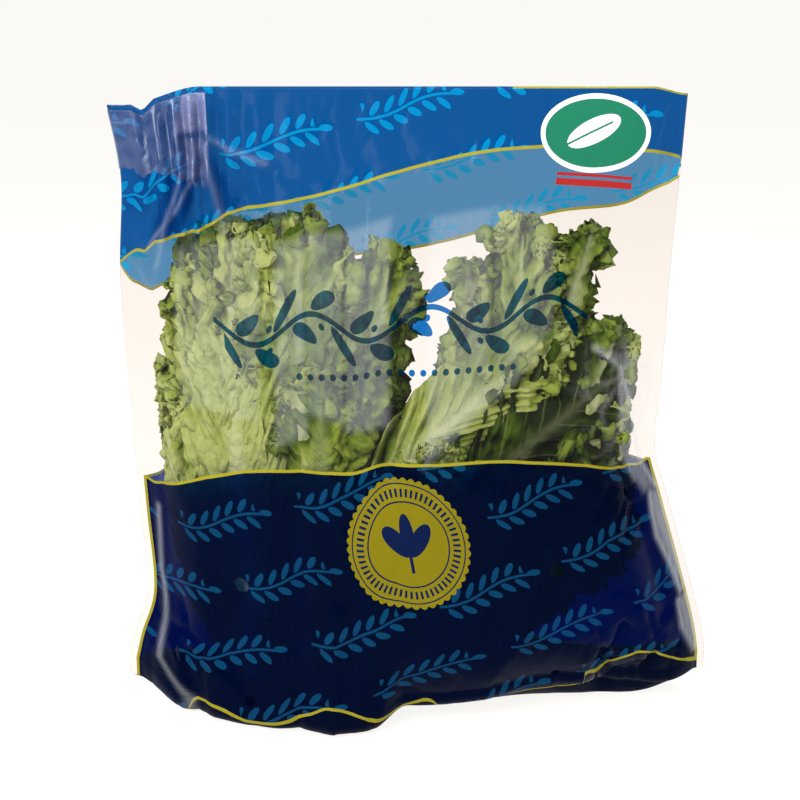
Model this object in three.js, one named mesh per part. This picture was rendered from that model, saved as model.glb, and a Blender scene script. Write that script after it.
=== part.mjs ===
// A clear printed film bag of lettuce leaves, standing on its own gusseted base.
// Millimetres, +Z up, the front faces -Y. The origin is the middle of the footprint, on the floor.
// The bag is one closed solid out to the film, and the strip of clear tape that holds its
// gathered corner is a thin skin that wraps round the left seam.
import * as THREE from "three";
import { mergeVertices } from "three/addons/utils/BufferGeometryUtils.js";

// Driving dimensions
const bagHeight = 288;
const seamMargin = 4.5; // the flat strip of film outside each side weld
const filmThickness = 1.2; // two plies of film with the air between them, as a solid edge
const frontDepth = 53; // from the seams' plane to the fullest point of the front
const backDepth = 45;
const baseRadius = 9; // the film rolls from the base into the walls
const sideLean = 1.35; // how steeply a side facet runs back from the crease to the seam
const faceCrown = 0.74; // share of its depth that a face has lost where it would meet the seam
const facetStart = 0.2; // depth of a side facet where it leaves the seam
const creaseRadius = 8; // between a face and its side facets
const seamRoom = 0.09; // folds fade out over this share of the half width beside a seam
const endRoom = 0.95; // and the pleats over the last share of the height
const earLift = { left: 9, right: 13 }; // the base's two corners curl off the floor
const earFrom = 0.7; // share of the half width where a corner starts to lift
const earPower = 1.5; // how late the lift comes
const foldSharpness = 1.5; // over 1, a fold's middle is a crisp line
const taperPower = 2.7; // how late the depth falls off towards the mouth

// Half outlines of the bag seen from the front: heights, and how far out each seam is there
const leftSeam = [
  [0, 139], [22, 134], [47, 127], [90, 129], [145, 131.5], [205, 134], [255, 133], [288, 137],
];
const rightSeam = [
  [0, 139], [22, 136], [55, 127.5], [92, 117], [117, 110.5],
  [150, 112.5], [205, 114.5], [250, 117], [288, 119],
];

// The mouth: level but for the gathered corner on the left and a droop on the right
const mouthDrop = {
  left: 8, leftFrom: 8, leftReach: 42, right: 3, rightReach: 16, notch: 3.5, notchAt: -121, notchWidth: 5,
};

// Grid of the film: columns across, rows from the base's centre fold up to the mouth
const columnZones = [
  { to: 0.016, count: 1 }, // left seam margin
  { to: 0.24, count: 22 }, // gathered corner and its pleats
  { to: 0.84, count: 19 },
  { to: 0.984, count: 8 },
  { to: 1, count: 1 }, // right seam margin
];
const baseRows = 5;
const rollRows = 3;
const wallRows = 22;
const mouthRows = 12;
const mouthZone = 0.76; // share of the height where the finer rows begin

const curveSteps = 160; // samples of each half outline
const weldDistance = 1e-3;

const clamp01 = (value) => Math.min(1, Math.max(0, value));
const smooth = (low, high, value) => {
  const t = clamp01((value - low) / (high - low));
  return t * t * (3 - 2 * t);
};
const mix = (a, b, t) => a + (b - a) * t;

// The smaller of two numbers, with the corner between them rounded over a given radius
const softMin = (a, b, radius) => {
  const h = Math.max(0, radius - Math.abs(a - b)) / radius;
  return Math.min(a, b) - (h * h * radius) / 4;
};

// A smooth line through stations of [height, value]
function lineThrough(stations) {
  const curve = new THREE.SplineCurve(stations.map(([h, value]) => new THREE.Vector2(h, value)));
  const samples = curve.getPoints(curveSteps);
  return (height) => {
    const next = samples.findIndex((p) => p.x >= height);
    if (next <= 0) {
      return samples[next === 0 ? 0 : samples.length - 1].y;
    }
    const [a, b] = [samples[next - 1], samples[next]];
    return mix(a.y, b.y, (height - a.x) / (b.x - a.x));
  };
}
const leftReach = lineThrough(leftSeam);
const rightReach = lineThrough(rightSeam);
const [mouthLeft, mouthRight] = [leftReach(bagHeight), rightReach(bagHeight)];

// Height of the mouth above the floor at a place across it
const mouthHeight = (x) =>
  bagHeight
  - mouthDrop.left * (1 - smooth(mouthDrop.leftFrom - mouthLeft, mouthDrop.leftReach - mouthLeft, x))
  - mouthDrop.right * smooth(mouthRight - mouthDrop.rightReach, mouthRight, x)
  - mouthDrop.notch * Math.max(0, 1 - Math.abs(x - mouthDrop.notchAt) / mouthDrop.notchWidth);

// A ridge or groove along a line on the wall: 1 on the line, 0 past its half width
function alongLine(x, z, from, to, halfWidth) {
  const [dx, dz] = [to[0] - from[0], to[1] - from[1]];
  const t = clamp01(((x - from[0]) * dx + (z - from[1]) * dz) / (dx * dx + dz * dz));
  const off = Math.hypot(x - from[0] - t * dx, z - from[1] - t * dz) / halfWidth;
  return off < 1 ? (1 - off) ** foldSharpness : 0;
}

// Folds pressed into the film: depth is outwards when positive
const frontFolds = [
  { from: [-54, 4], to: [-50, 70], halfWidth: 12, depth: -4 },
  { from: [-76, 2], to: [-52, 2], halfWidth: 30, depth: 5 },
  { from: [-38, 4], to: [-36, 58], halfWidth: 9, depth: 3 },
  { from: [-22, 0], to: [-14, 42], halfWidth: 8, depth: -3 },
  { from: [-107, 28], to: [-99, 0], halfWidth: 8, depth: -5 },
  { from: [-121, 34], to: [-108, 24], halfWidth: 7, depth: 3 },
  { from: [-52, 82], to: [-50, 240], halfWidth: 12, depth: -2.5 },
  { from: [-12, 118], to: [-9, 205], halfWidth: 12, depth: -3 },
  { from: [-84, 246], to: [-66, 196], halfWidth: 7, depth: -3 },
  { from: [-100, 240], to: [-98, 176], halfWidth: 6, depth: -3 },
  { from: [82, 178], to: [111, 104], halfWidth: 10, depth: 4 },
  { from: [97, 172], to: [104, 120], halfWidth: 7, depth: -3.5 },
  { from: [98, 100], to: [116, 40], halfWidth: 9, depth: -3.5 },
  { from: [30, 6], to: [52, 44], halfWidth: 14, depth: 2 },
  { from: [84, 0], to: [96, 34], halfWidth: 9, depth: -6 },
];
const backFolds = [
  { from: [-70, 40], to: [-30, 150], halfWidth: 14, depth: -4 },
  { from: [20, 25], to: [64, 120], halfWidth: 12, depth: -4 },
  { from: [-20, 170], to: [10, 262], halfWidth: 16, depth: -3 },
  { from: [84, 165], to: [104, 80], halfWidth: 10, depth: 3 },
];

// The gathered corner: tape pinches the film sideways there, and the spare width stands up in pleats.
// The pleats start under the tape and are `pleat` wide, as a share of the film's width.
const gather = {
  x: -97, z: 262, pinch: 0.32, reach: 44, below: 74, above: 8,
  pleat: 0.0407, from: 0.016, frontDepth: 3, backDepth: -2.4, spread: 0.6,
};
const swings = [
  { turn: 1.2, x: 1 / 13, z: 1 / 31 },
  { turn: 0.9, x: 0, z: 1 / 19 },
];
const gatherShare = (x, z) => {
  const off = Math.min(1, Math.abs(x - gather.x) / gather.reach);
  return (1 - off * off) ** 2 * smooth(gather.z - gather.below, gather.z - gather.above, z);
};
const pinched = (x, z) => x - gather.pinch * (x - gather.x) * gatherShare(x, z);

// The pleats as a wave from -1 to 1. They swing a little to and fro on their way down.
function pleatWave(across, x, z) {
  const turns = (across - gather.from) / gather.pleat;
  const swing = swings.reduce((sum, s) => sum + s.turn * Math.sin(x * s.x + z * s.z), 0);
  return Math.sin(turns * 2 * Math.PI + swing) * gatherShare(x, z) ** gather.spread;
}

// Right of the middle the front of the base draws in under the belly and lifts, the more so to the right
const tuck = {
  from: -22, to: -4, inward: 24, rise: 6.5, height: 52, endsAt: 0.95, moreFrom: 0, moreTo: 72, more: 0.6,
};
const tuckShare = (x) =>
  smooth(tuck.from, tuck.to, x) + tuck.more * smooth(tuck.moreFrom, tuck.moreTo, x);

// How far the film stands from the seams' plane at one place.
// t runs from -1 at the left seam to 1 at the right.
function wallDepth(t, x, z, front, halfWidth) {
  const height = clamp01(z / bagHeight);
  const drawnIn = front ? tuck.inward * tuckShare(x) * Math.max(0, 1 - z / tuck.height) ** 2 : 0;
  const full = (front ? frontDepth : backDepth) * (1 - height ** taperPower) - drawnIn;
  const inner = 1 - seamMargin / halfWidth;
  const edge = clamp01(1 - Math.abs(t) / inner);
  const face = full * (1 - faceCrown * t * t) + filmThickness / 2;
  const facet = sideLean * halfWidth * edge + facetStart;
  let depth = softMin(face, facet, creaseRadius);
  const room = smooth(0, seamRoom, edge);
  for (const fold of front ? frontFolds : backFolds) {
    depth += fold.depth * room * alongLine(x, z, fold.from, fold.to, fold.halfWidth);
  }
  const pleat = front ? gather.frontDepth : gather.backDepth;
  depth += pleat * pleatWave((t + 1) / 2, x, z) * room * (1 - smooth(endRoom, 1, height));
  return Math.max(filmThickness / 2, depth);
}

// Where the columns and rows of the grid lie, each from 0 to 1
function columnPlaces() {
  const places = [0];
  for (const { to, count } of columnZones) {
    const from = places.at(-1);
    for (let i = 1; i <= count; i++) {
      places.push(mix(from, to, i / count));
    }
  }
  return places;
}
const columns = columnPlaces();
const lastRow = baseRows + rollRows + wallRows + mouthRows;

// One point of the film. Rows run out along the base, round the roll and up the wall.
function filmPoint(front, across, row) {
  const side = front ? -1 : 1;
  const t = 2 * across - 1;
  const ear = t < 0 ? earLift.left : earLift.right;
  const lift = ear * smooth(earFrom, 1, Math.abs(t)) ** earPower;
  const atLevel = (z) => {
    const [left, right] = [-leftReach(z), rightReach(z)];
    const x = mix(left, right, across);
    return { x: pinched(x, z), depth: wallDepth(t, x, z, front, (right - left) / 2) };
  };
  const low = atLevel(baseRadius);
  const roll = Math.min(baseRadius, low.depth / 2);
  const tucked = front ? tuck.rise * tuckShare(low.x) * (1 - smooth(earFrom, tuck.endsAt, Math.abs(t))) : 0;
  if (row <= baseRows) {
    const share = row / baseRows;
    const fold = mix(-leftReach(0), rightReach(0), across);
    return new THREE.Vector3(
      mix(fold, low.x, share),
      side * share * (low.depth - roll),
      lift + tucked * share * share,
    );
  }
  if (row <= baseRows + rollRows) {
    const angle = ((row - baseRows) / rollRows) * (Math.PI / 2);
    return new THREE.Vector3(
      low.x,
      side * (low.depth - roll + roll * Math.sin(angle)),
      lift + tucked + baseRadius * (1 - Math.cos(angle)),
    );
  }
  const step = row - baseRows - rollRows;
  const share = step <= wallRows
    ? (mouthZone * step) / wallRows
    : mix(mouthZone, 1, (step - wallRows) / mouthRows);
  const plain = mix(baseRadius, bagHeight, share);
  const { x, depth } = atLevel(plain);
  const rise = mouthHeight(x) - bagHeight;
  return new THREE.Vector3(x, side * depth, plain + mix(lift + tucked, rise, share));
}

// A closed solid from points and the triangles between them, with doubled points joined
function solidFrom(points, triangles) {
  const position = new Float32Array(points.flatMap((p) => [p.x, p.y, p.z]));
  const geometry = new THREE.BufferGeometry()
    .setAttribute("position", new THREE.BufferAttribute(position, 3))
    .setIndex(triangles.flat());
  const merged = mergeVertices(geometry, weldDistance);
  const index = merged.index.array;
  const kept = [];
  for (let i = 0; i < index.length; i += 3) {
    const [a, b, c] = [index[i], index[i + 1], index[i + 2]];
    if (a !== b && b !== c && a !== c) {
      kept.push(a, b, c);
    }
  }
  merged.setIndex(kept);
  merged.computeVertexNormals();
  return merged;
}

// The two triangles of a quad whose corners run anticlockwise seen from outside
const quad = (a, b, c, d) => [[a, b, c], [a, c, d]];

function bagGeometry() {
  const points = [];
  const grid = [true, false].map((front) =>
    columns.map((across) =>
      Array.from({ length: lastRow + 1 }, (_, row) => points.push(filmPoint(front, across, row)) - 1)));
  const [front, back] = grid;
  const last = columns.length - 1;
  const triangles = [];
  for (let i = 0; i < last; i++) {
    for (let j = 0; j < lastRow; j++) {
      triangles.push(...quad(front[i][j], front[i + 1][j], front[i + 1][j + 1], front[i][j + 1]));
      triangles.push(...quad(back[i + 1][j], back[i][j], back[i][j + 1], back[i + 1][j + 1]));
    }
    const k = lastRow;
    triangles.push(...quad(front[i][k], front[i + 1][k], back[i + 1][k], back[i][k]));
  }
  for (let j = 0; j < lastRow; j++) {
    triangles.push(...quad(back[0][j], front[0][j], front[0][j + 1], back[0][j + 1]));
    triangles.push(...quad(front[last][j], back[last][j], back[last][j + 1], front[last][j + 1]));
  }
  return solidFrom(points, triangles);
}

// The strip of tape: a run of columns from its front end, round the left seam, to its back end.
// It starts one row under the mouth; its lower edge climbs from its ends to the seam.
const tape = { onFront: 16, onBack: 13, rows: 9, tall: 7.4, tallAtSeam: 4.8, gap: 0.7, thickness: 0.6 };

function tapeGeometry() {
  const route = [];
  for (let i = tape.onFront; i >= 0; i--) {
    route.push({ front: true, i });
  }
  for (let i = 0; i <= tape.onBack; i++) {
    route.push({ front: false, i });
  }
  const levels = Array.from({ length: tape.rows + 1 }, (_, k) => 1 - k / tape.rows);

  const points = [];
  const layers = [tape.gap, tape.gap + tape.thickness].map((distance) =>
    route.map(({ front, i }) => levels.map((level) => {
      const tall = mix(tape.tallAtSeam, tape.tall, smooth(0, tape.onFront, i));
      const round = new THREE.Vector3(i === 0 ? -distance : 0, front ? -distance : distance, 0);
      return points.push(filmPoint(front, columns[i], lastRow - 1 - tall * level).add(round)) - 1;
    })));
  const [inner, outer] = layers;
  const last = route.length - 1;
  const triangles = [];
  for (let i = 0; i < last; i++) {
    for (let j = 0; j < tape.rows; j++) {
      triangles.push(...quad(outer[i + 1][j], outer[i][j], outer[i][j + 1], outer[i + 1][j + 1]));
      triangles.push(...quad(inner[i + 1][j], inner[i][j], inner[i][j + 1], inner[i + 1][j + 1])
        .map((corners) => corners.reverse()));
    }
    triangles.push(...quad(inner[i + 1][0], inner[i][0], outer[i][0], outer[i + 1][0]));
    const top = tape.rows;
    triangles.push(...quad(inner[i][top], inner[i + 1][top], outer[i + 1][top], outer[i][top]));
  }
  for (let j = 0; j < tape.rows; j++) {
    triangles.push(...quad(outer[0][j], inner[0][j], inner[0][j + 1], outer[0][j + 1]));
    triangles.push(...quad(inner[last][j], outer[last][j], outer[last][j + 1], inner[last][j + 1]));
  }
  return solidFrom(points, triangles);
}

const filmMaterial = new THREE.MeshStandardMaterial({ color: "#8fa06a", roughness: 0.25, metalness: 0 });
const tapeMaterial = new THREE.MeshStandardMaterial({ color: "#9aa6c8", roughness: 0.3, metalness: 0 });

function namedMesh(name, geometry, material) {
  const mesh = new THREE.Mesh(geometry, material);
  mesh.name = name;
  return mesh;
}

const bagOfLeaves = new THREE.Group();
bagOfLeaves.add(namedMesh("bag", bagGeometry(), filmMaterial));
bagOfLeaves.add(namedMesh("closing_tape", tapeGeometry(), tapeMaterial));

// The box round the bag is centred over the origin
const box = new THREE.Box3().setFromObject(bagOfLeaves);
const centre = box.getCenter(new THREE.Vector3());
bagOfLeaves.position.set(-centre.x, -centre.y, -box.min.z);

export default bagOfLeaves;
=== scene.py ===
"""A clear printed film bag of frilly lettuce, standing on its gusseted base.

The bag is one web of film folded at the base and welded at both sides, printed with two
blue bands. Two loose heads of lettuce stand inside it, and a strip of clear tape holds the
gathered corner. Sizes are in millimetres in the maker's own frame (x right, y back, z up)
and turn into metres when a mesh is made.
"""
import logging
import math
from dataclasses import dataclass, fields
from enum import Enum

import bpy
import numpy as np
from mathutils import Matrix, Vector


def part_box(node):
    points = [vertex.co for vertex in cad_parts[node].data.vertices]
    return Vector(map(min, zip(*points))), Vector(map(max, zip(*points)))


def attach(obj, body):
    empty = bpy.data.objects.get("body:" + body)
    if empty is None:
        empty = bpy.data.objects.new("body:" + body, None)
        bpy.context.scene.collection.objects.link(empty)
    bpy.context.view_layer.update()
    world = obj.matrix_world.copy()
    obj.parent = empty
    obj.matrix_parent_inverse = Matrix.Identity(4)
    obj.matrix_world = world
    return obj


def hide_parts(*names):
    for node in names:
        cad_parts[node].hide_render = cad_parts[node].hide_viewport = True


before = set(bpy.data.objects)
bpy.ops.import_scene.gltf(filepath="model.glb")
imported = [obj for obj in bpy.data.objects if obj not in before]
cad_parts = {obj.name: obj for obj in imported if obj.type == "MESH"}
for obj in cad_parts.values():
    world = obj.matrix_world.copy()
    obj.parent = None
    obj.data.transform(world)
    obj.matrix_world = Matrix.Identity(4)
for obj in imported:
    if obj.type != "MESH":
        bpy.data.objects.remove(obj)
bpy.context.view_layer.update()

MM = 0.001
BODY = "root"
Array = np.ndarray
Pair = tuple[float, float]
Triple = tuple[float, float, float]

log = logging.getLogger("salad_bag")


def smooth(low: float, high: float, value: Array) -> Array:
    """Ease from 0 at low to 1 at high."""
    t = np.clip((value - low) / (high - low), 0.0, 1.0)
    return t * t * (3.0 - 2.0 * t)


def soft_min(a: Array, b: Array, radius: float) -> Array:
    """The smaller of two fields, with the corner between them rounded over a radius."""
    h = np.maximum(0.0, radius - np.abs(a - b)) / radius
    return np.minimum(a, b) - h * h * radius / 4.0


def line_through(stations: tuple[Pair, ...], steps: int = 24) -> Array:
    """Points of a smooth line through stations.

    Args:
        stations: pairs of a place along the line and its value.
        steps: points between two stations.

    Returns:
        An array of place and value, for np.interp.
    """
    points = np.array(stations, dtype=float)
    padded = np.vstack([points[0], points, points[-1]])
    line = []
    for i in range(len(points) - 1):
        p0, p1, p2, p3 = padded[i:i + 4]
        v0, v1 = (p2 - p0) / 2, (p3 - p1) / 2
        for t in np.linspace(0, 1, steps, endpoint=i == len(points) - 2):
            cubic = 2 * p1 - 2 * p2 + v0 + v1
            square = 3 * p2 - 3 * p1 - 2 * v0 - v1
            line.append(cubic * t**3 + square * t**2 + v0 * t + p1)
    return np.array(line)


def linear(colour: str, alpha: float = 1.0) -> tuple[float, float, float, float]:
    """Turn an sRGB hex colour into linear RGBA."""
    parts = [int(colour[i:i + 2], 16) / 255 for i in (1, 3, 5)]
    return (*[c / 12.92 if c <= 0.04045 else ((c + 0.055) / 1.055) ** 2.4 for c in parts], alpha)


class Noise:
    """Smooth seeded noise over a plane, as a sum of slanting waves."""

    def __init__(self, seed: int, wavelength: float, waves: int = 7) -> None:
        """Draw the waves once.

        Args:
            seed: the draw's seed.
            wavelength: the middle wavelength, in the units of the plane.
            waves: how many waves are added.
        """
        draw = np.random.default_rng(seed)
        angle = draw.uniform(0, 2 * math.pi, waves)
        pitch = 2 * math.pi / (wavelength * draw.uniform(0.65, 1.5, waves))
        self.kx, self.ky = np.cos(angle) * pitch, np.sin(angle) * pitch
        self.phase = draw.uniform(0, 2 * math.pi, waves)

    def at(self, x: Array, y: Array) -> Array:
        """The noise at points, mostly between -1 and 1."""
        total = np.zeros(np.broadcast(x, y).shape)
        for kx, ky, phase in zip(self.kx, self.ky, self.phase):
            total += np.sin(kx * x + ky * y + phase)
        return total / math.sqrt(len(self.kx))


class Creases:
    """A net of straight creases between flat facets, as in film that was crushed once."""

    reach = 12  # facets each way from the net's middle
    scatter = 0.42  # how far a facet's centre strays from its place, in facets
    raised = 4.0  # how far up the net's middle lies, in facets

    def __init__(self, seed: int, facet: float, stretch: float, turn: float) -> None:
        """Scatter the facets' centres.

        Args:
            seed: the draw's seed.
            facet: a facet's usual size in mm.
            stretch: how much longer than wide a facet is.
            turn: the long way's angle from upright, in degrees.
        """
        draw = np.random.default_rng(seed)
        self.facet, self.stretch = facet, stretch
        self.cos, self.sin = math.cos(math.radians(turn)), math.sin(math.radians(turn))
        steps = np.arange(-self.reach, self.reach + 1)
        gx, gy = np.meshgrid(steps, steps)
        self.px = (gx + draw.uniform(-self.scatter, self.scatter, gx.shape)).ravel()
        self.py = (gy + draw.uniform(-self.scatter, self.scatter, gy.shape)).ravel()

    def away(self, x: Array, z: Array) -> Array:
        """How far each point is from a crease, in mm."""
        u = (x * self.cos + z * self.sin) / self.facet
        v = (-x * self.sin + z * self.cos) / (self.facet * self.stretch)
        best = np.full(u.shape, 1e9)
        second = np.full(u.shape, 1e9)
        for px, py in zip(self.px, self.py + self.raised):
            away = np.hypot(u - px, v - py)
            second = np.minimum(second, np.maximum(best, away))
            best = np.minimum(best, away)
        return (second - best) * self.facet


@dataclass(frozen=True)
class Fold:
    """One fold pressed into a wall: outwards when its depth is positive."""

    start: Pair
    end: Pair
    half_width: float
    depth: float

    def relief(self, x: Array, z: Array) -> Array:
        """The fold's height over the wall at each point."""
        (x0, z0), (x1, z1) = self.start, self.end
        dx, dz = x1 - x0, z1 - z0
        t = np.clip(((x - x0) * dx + (z - z0) * dz) / (dx * dx + dz * dz), 0, 1)
        off = np.hypot(x - x0 - t * dx, z - z0 - t * dz) / self.half_width
        return self.depth * np.clip(1 - off, 0, 1) ** 1.5


@dataclass(frozen=True)
class LongCrease:
    """A sharp crease of the front wall, along places across and up the film in mm."""

    route: tuple[Pair, ...]
    half_width: float
    depth: float
    # the strength of a painted glint along the crease
    white: float = 0.0

    def away(self, u: Array, level: Array) -> Array:
        """How far each point of the film is from the crease, in mm."""
        best = np.full(np.broadcast(u, level).shape, 1e9)
        for (u0, v0), (u1, v1) in zip(self.route, self.route[1:]):
            du, dv = u1 - u0, v1 - v0
            t = np.clip(((u - u0) * du + (level - v0) * dv) / (du * du + dv * dv), 0, 1)
            best = np.minimum(best, np.hypot(u - u0 - t * du, level - v0 - t * dv))
        return best


@dataclass(frozen=True)
class Facet:
    """A flat patch of the front wall between creases, with its corners anticlockwise on the film."""

    corners: tuple[Pair, ...]
    strength: float
    fade: float = 2.5  # half the width of its soft edge in mm

    def share(self, u: Array, level: Array) -> Array:
        """The patch's strength inside it, and 0 outside."""
        inside = np.full(np.broadcast(u, level).shape, 1e9)
        for (u0, v0), (u1, v1) in zip(self.corners, (*self.corners[1:], self.corners[0])):
            inside = np.minimum(inside, ((u1 - u0) * (level - v0) - (v1 - v0) * (u - u0))
                                / math.hypot(u1 - u0, v1 - v0))
        return self.strength * smooth(-self.fade, self.fade, inside)


@dataclass(frozen=True)
class BagForm:
    """The shape that the filled bag takes, from the named sizes of the solid."""

    film_width: float = 280.0
    height: float = 288.0
    seam_margin: float = 4.5
    front_depth: float = 53.0
    back_depth: float = 45.0
    base_radius: float = 9.0
    side_lean: float = 1.35
    ear_left: float = 9.0
    ear_right: float = 13.0
    taper_power: float = 2.7
    film_gap: float = 0.15
    seams_behind: float = 4.43  # the seams' plane behind the solid's middle
    crown: float = 0.74  # how far a wall falls from its middle towards a seam, as a share of its depth
    crease_radius: float = 8.0  # rounds the crease between a wall's face and its slope to the seam
    tuck_inward: float = 24.0  # how far the front of the base draws in
    tuck_height: float = 52.0
    tuck_rise: float = 6.5
    gather_at: float = -97.0  # place across of the corner that the tape pinches
    gather_reach: float = 44.0
    gather_heights: Pair = (188.0, 254.0)  # where the pleats set in, and where they are at their deepest
    gather_pull: float = 0.32  # how far the pleats draw the film together
    pleat_depth: float = 3.0
    pleat_back: float = -0.8  # the back's pleats, as a share of the front's, turned inwards
    pleat_start: float = 0.016  # the first pleat and the pitch, as shares of the film's width
    pleat_pitch: float = 0.0407
    notch_at: float = -121.0  # the nick in the mouth beside the corner
    notch_depth: float = 3.5
    notch_half: float = 5.0
    droop_left: float = 8.0
    droop_right: float = 3.0
    left_seam: tuple[Pair, ...] = (
        (0, 139), (22, 134), (47, 127), (90, 129), (145, 131.5), (205, 134), (255, 133), (288, 137))
    right_seam: tuple[Pair, ...] = (
        (0, 139), (22, 136), (55, 127.5), (92, 117), (117, 110.5), (150, 112.5), (205, 114.5), (250, 117),
        (288, 119))
    front_folds: tuple[Fold, ...] = (
        Fold((-54, 4), (-50, 70), 12, -4),
        Fold((-76, 2), (-52, 2), 30, 5),
        Fold((-38, 4), (-36, 58), 9, 3),
        Fold((-22, 0), (-14, 42), 8, -3),
        Fold((-107, 28), (-99, 0), 8, -5),
        Fold((-121, 34), (-108, 24), 7, 3),
        Fold((-52, 82), (-50, 240), 12, -2.5),
        Fold((-12, 118), (-9, 205), 12, -3),
        Fold((-84, 246), (-66, 196), 7, -3),
        Fold((-100, 240), (-98, 176), 6, -3),
        Fold((82, 178), (111, 104), 10, 4),
        Fold((97, 172), (104, 120), 7, -3.5),
        Fold((98, 100), (116, 40), 9, -3.5),
        Fold((30, 6), (52, 44), 14, 2),
        Fold((84, 0), (96, 34), 9, -6),
    )
    back_folds: tuple[Fold, ...] = (
        Fold((-70, 40), (-30, 150), 14, -4),
        Fold((20, 25), (64, 120), 12, -4),
        Fold((-20, 170), (10, 262), 16, -3),
        Fold((84, 165), (104, 80), 10, 3),
    )

    def seams(self, level: Array) -> tuple[Array, Array]:
        """Where the left and right seams are at a height."""
        left, right = line_through(self.left_seam), line_through(self.right_seam)
        return -np.interp(level, left[:, 0], left[:, 1]), np.interp(level, right[:, 0], right[:, 1])

    def mouth(self, x: Array) -> Array:
        """Height of the mouth: it droops at both corners and has one notch."""
        left, right = self.seams(np.float64(self.height))
        notch = self.notch_depth * np.maximum(0, 1 - np.abs(x - self.notch_at) / self.notch_half)
        return (self.height - self.droop_left * (1 - smooth(left + 8, left + 42, x))
                - self.droop_right * smooth(right - 16, right, x) - notch)

    def gather(self, x: Array, z: Array) -> Array:
        """How strongly the tape pinches the film at a place."""
        off = np.minimum(1, np.abs(x - self.gather_at) / self.gather_reach)
        return (1 - off * off) ** 2 * smooth(*self.gather_heights, z)

    def tuck(self, x: Array) -> Array:
        """How far the front of the base draws in at a place across it."""
        return smooth(-22, -4, x) + 0.6 * smooth(0, 72, x)

    def depth(self, across: Array, x: Array, z: Array, front: bool, half_width: Array) -> Array:
        """How far a wall stands from the plane of the seams."""
        t = 2 * across - 1
        high = np.clip(z / self.height, 0, 1)
        full = (self.front_depth if front else self.back_depth) * (1 - high ** self.taper_power)
        if front:
            full = full - self.tuck_inward * self.tuck(x) * np.maximum(0, 1 - z / self.tuck_height) ** 2
        edge = np.clip(1 - np.abs(t) / (1 - self.seam_margin / half_width), 0, 1)
        face = full * (1 - self.crown * t * t) + 0.6
        out = soft_min(face, self.side_lean * half_width * edge + 0.2, self.crease_radius)
        room = smooth(0, 0.09, edge)
        for fold in self.front_folds if front else self.back_folds:
            out = out + room * fold.relief(x, z)
        wander = 1.2 * np.sin(x / 13 + z / 31) + 0.9 * np.sin(z / 19)
        turn = (across - self.pleat_start) / self.pleat_pitch * 2 * np.pi + wander
        pleat = self.pleat_depth * np.sin(turn) * self.gather(x, z) ** 0.6
        return out + (1 if front else self.pleat_back) * pleat * room * (1 - smooth(0.95, 1, high))

    def level_point(self, across: Array, level: Array, front: bool) -> tuple[Array, Array]:
        """Place across and depth of the wall at a height."""
        left, right = self.seams(level)
        x = left + (right - left) * across
        depth = np.maximum(self.film_gap, self.depth(across, x, level, front, (right - left) / 2))
        return x - self.gather_pull * (x - self.gather_at) * self.gather(x, level), depth

    def inside(self, x: Array, z: Array, front: bool) -> Array:
        """Room between the seams' plane and a wall, for what the bag holds."""
        left, right = self.seams(z)
        across = np.clip((x - left) / (right - left), 0, 1)
        return self.depth(across, x, z, front, (right - left) / 2)


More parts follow.
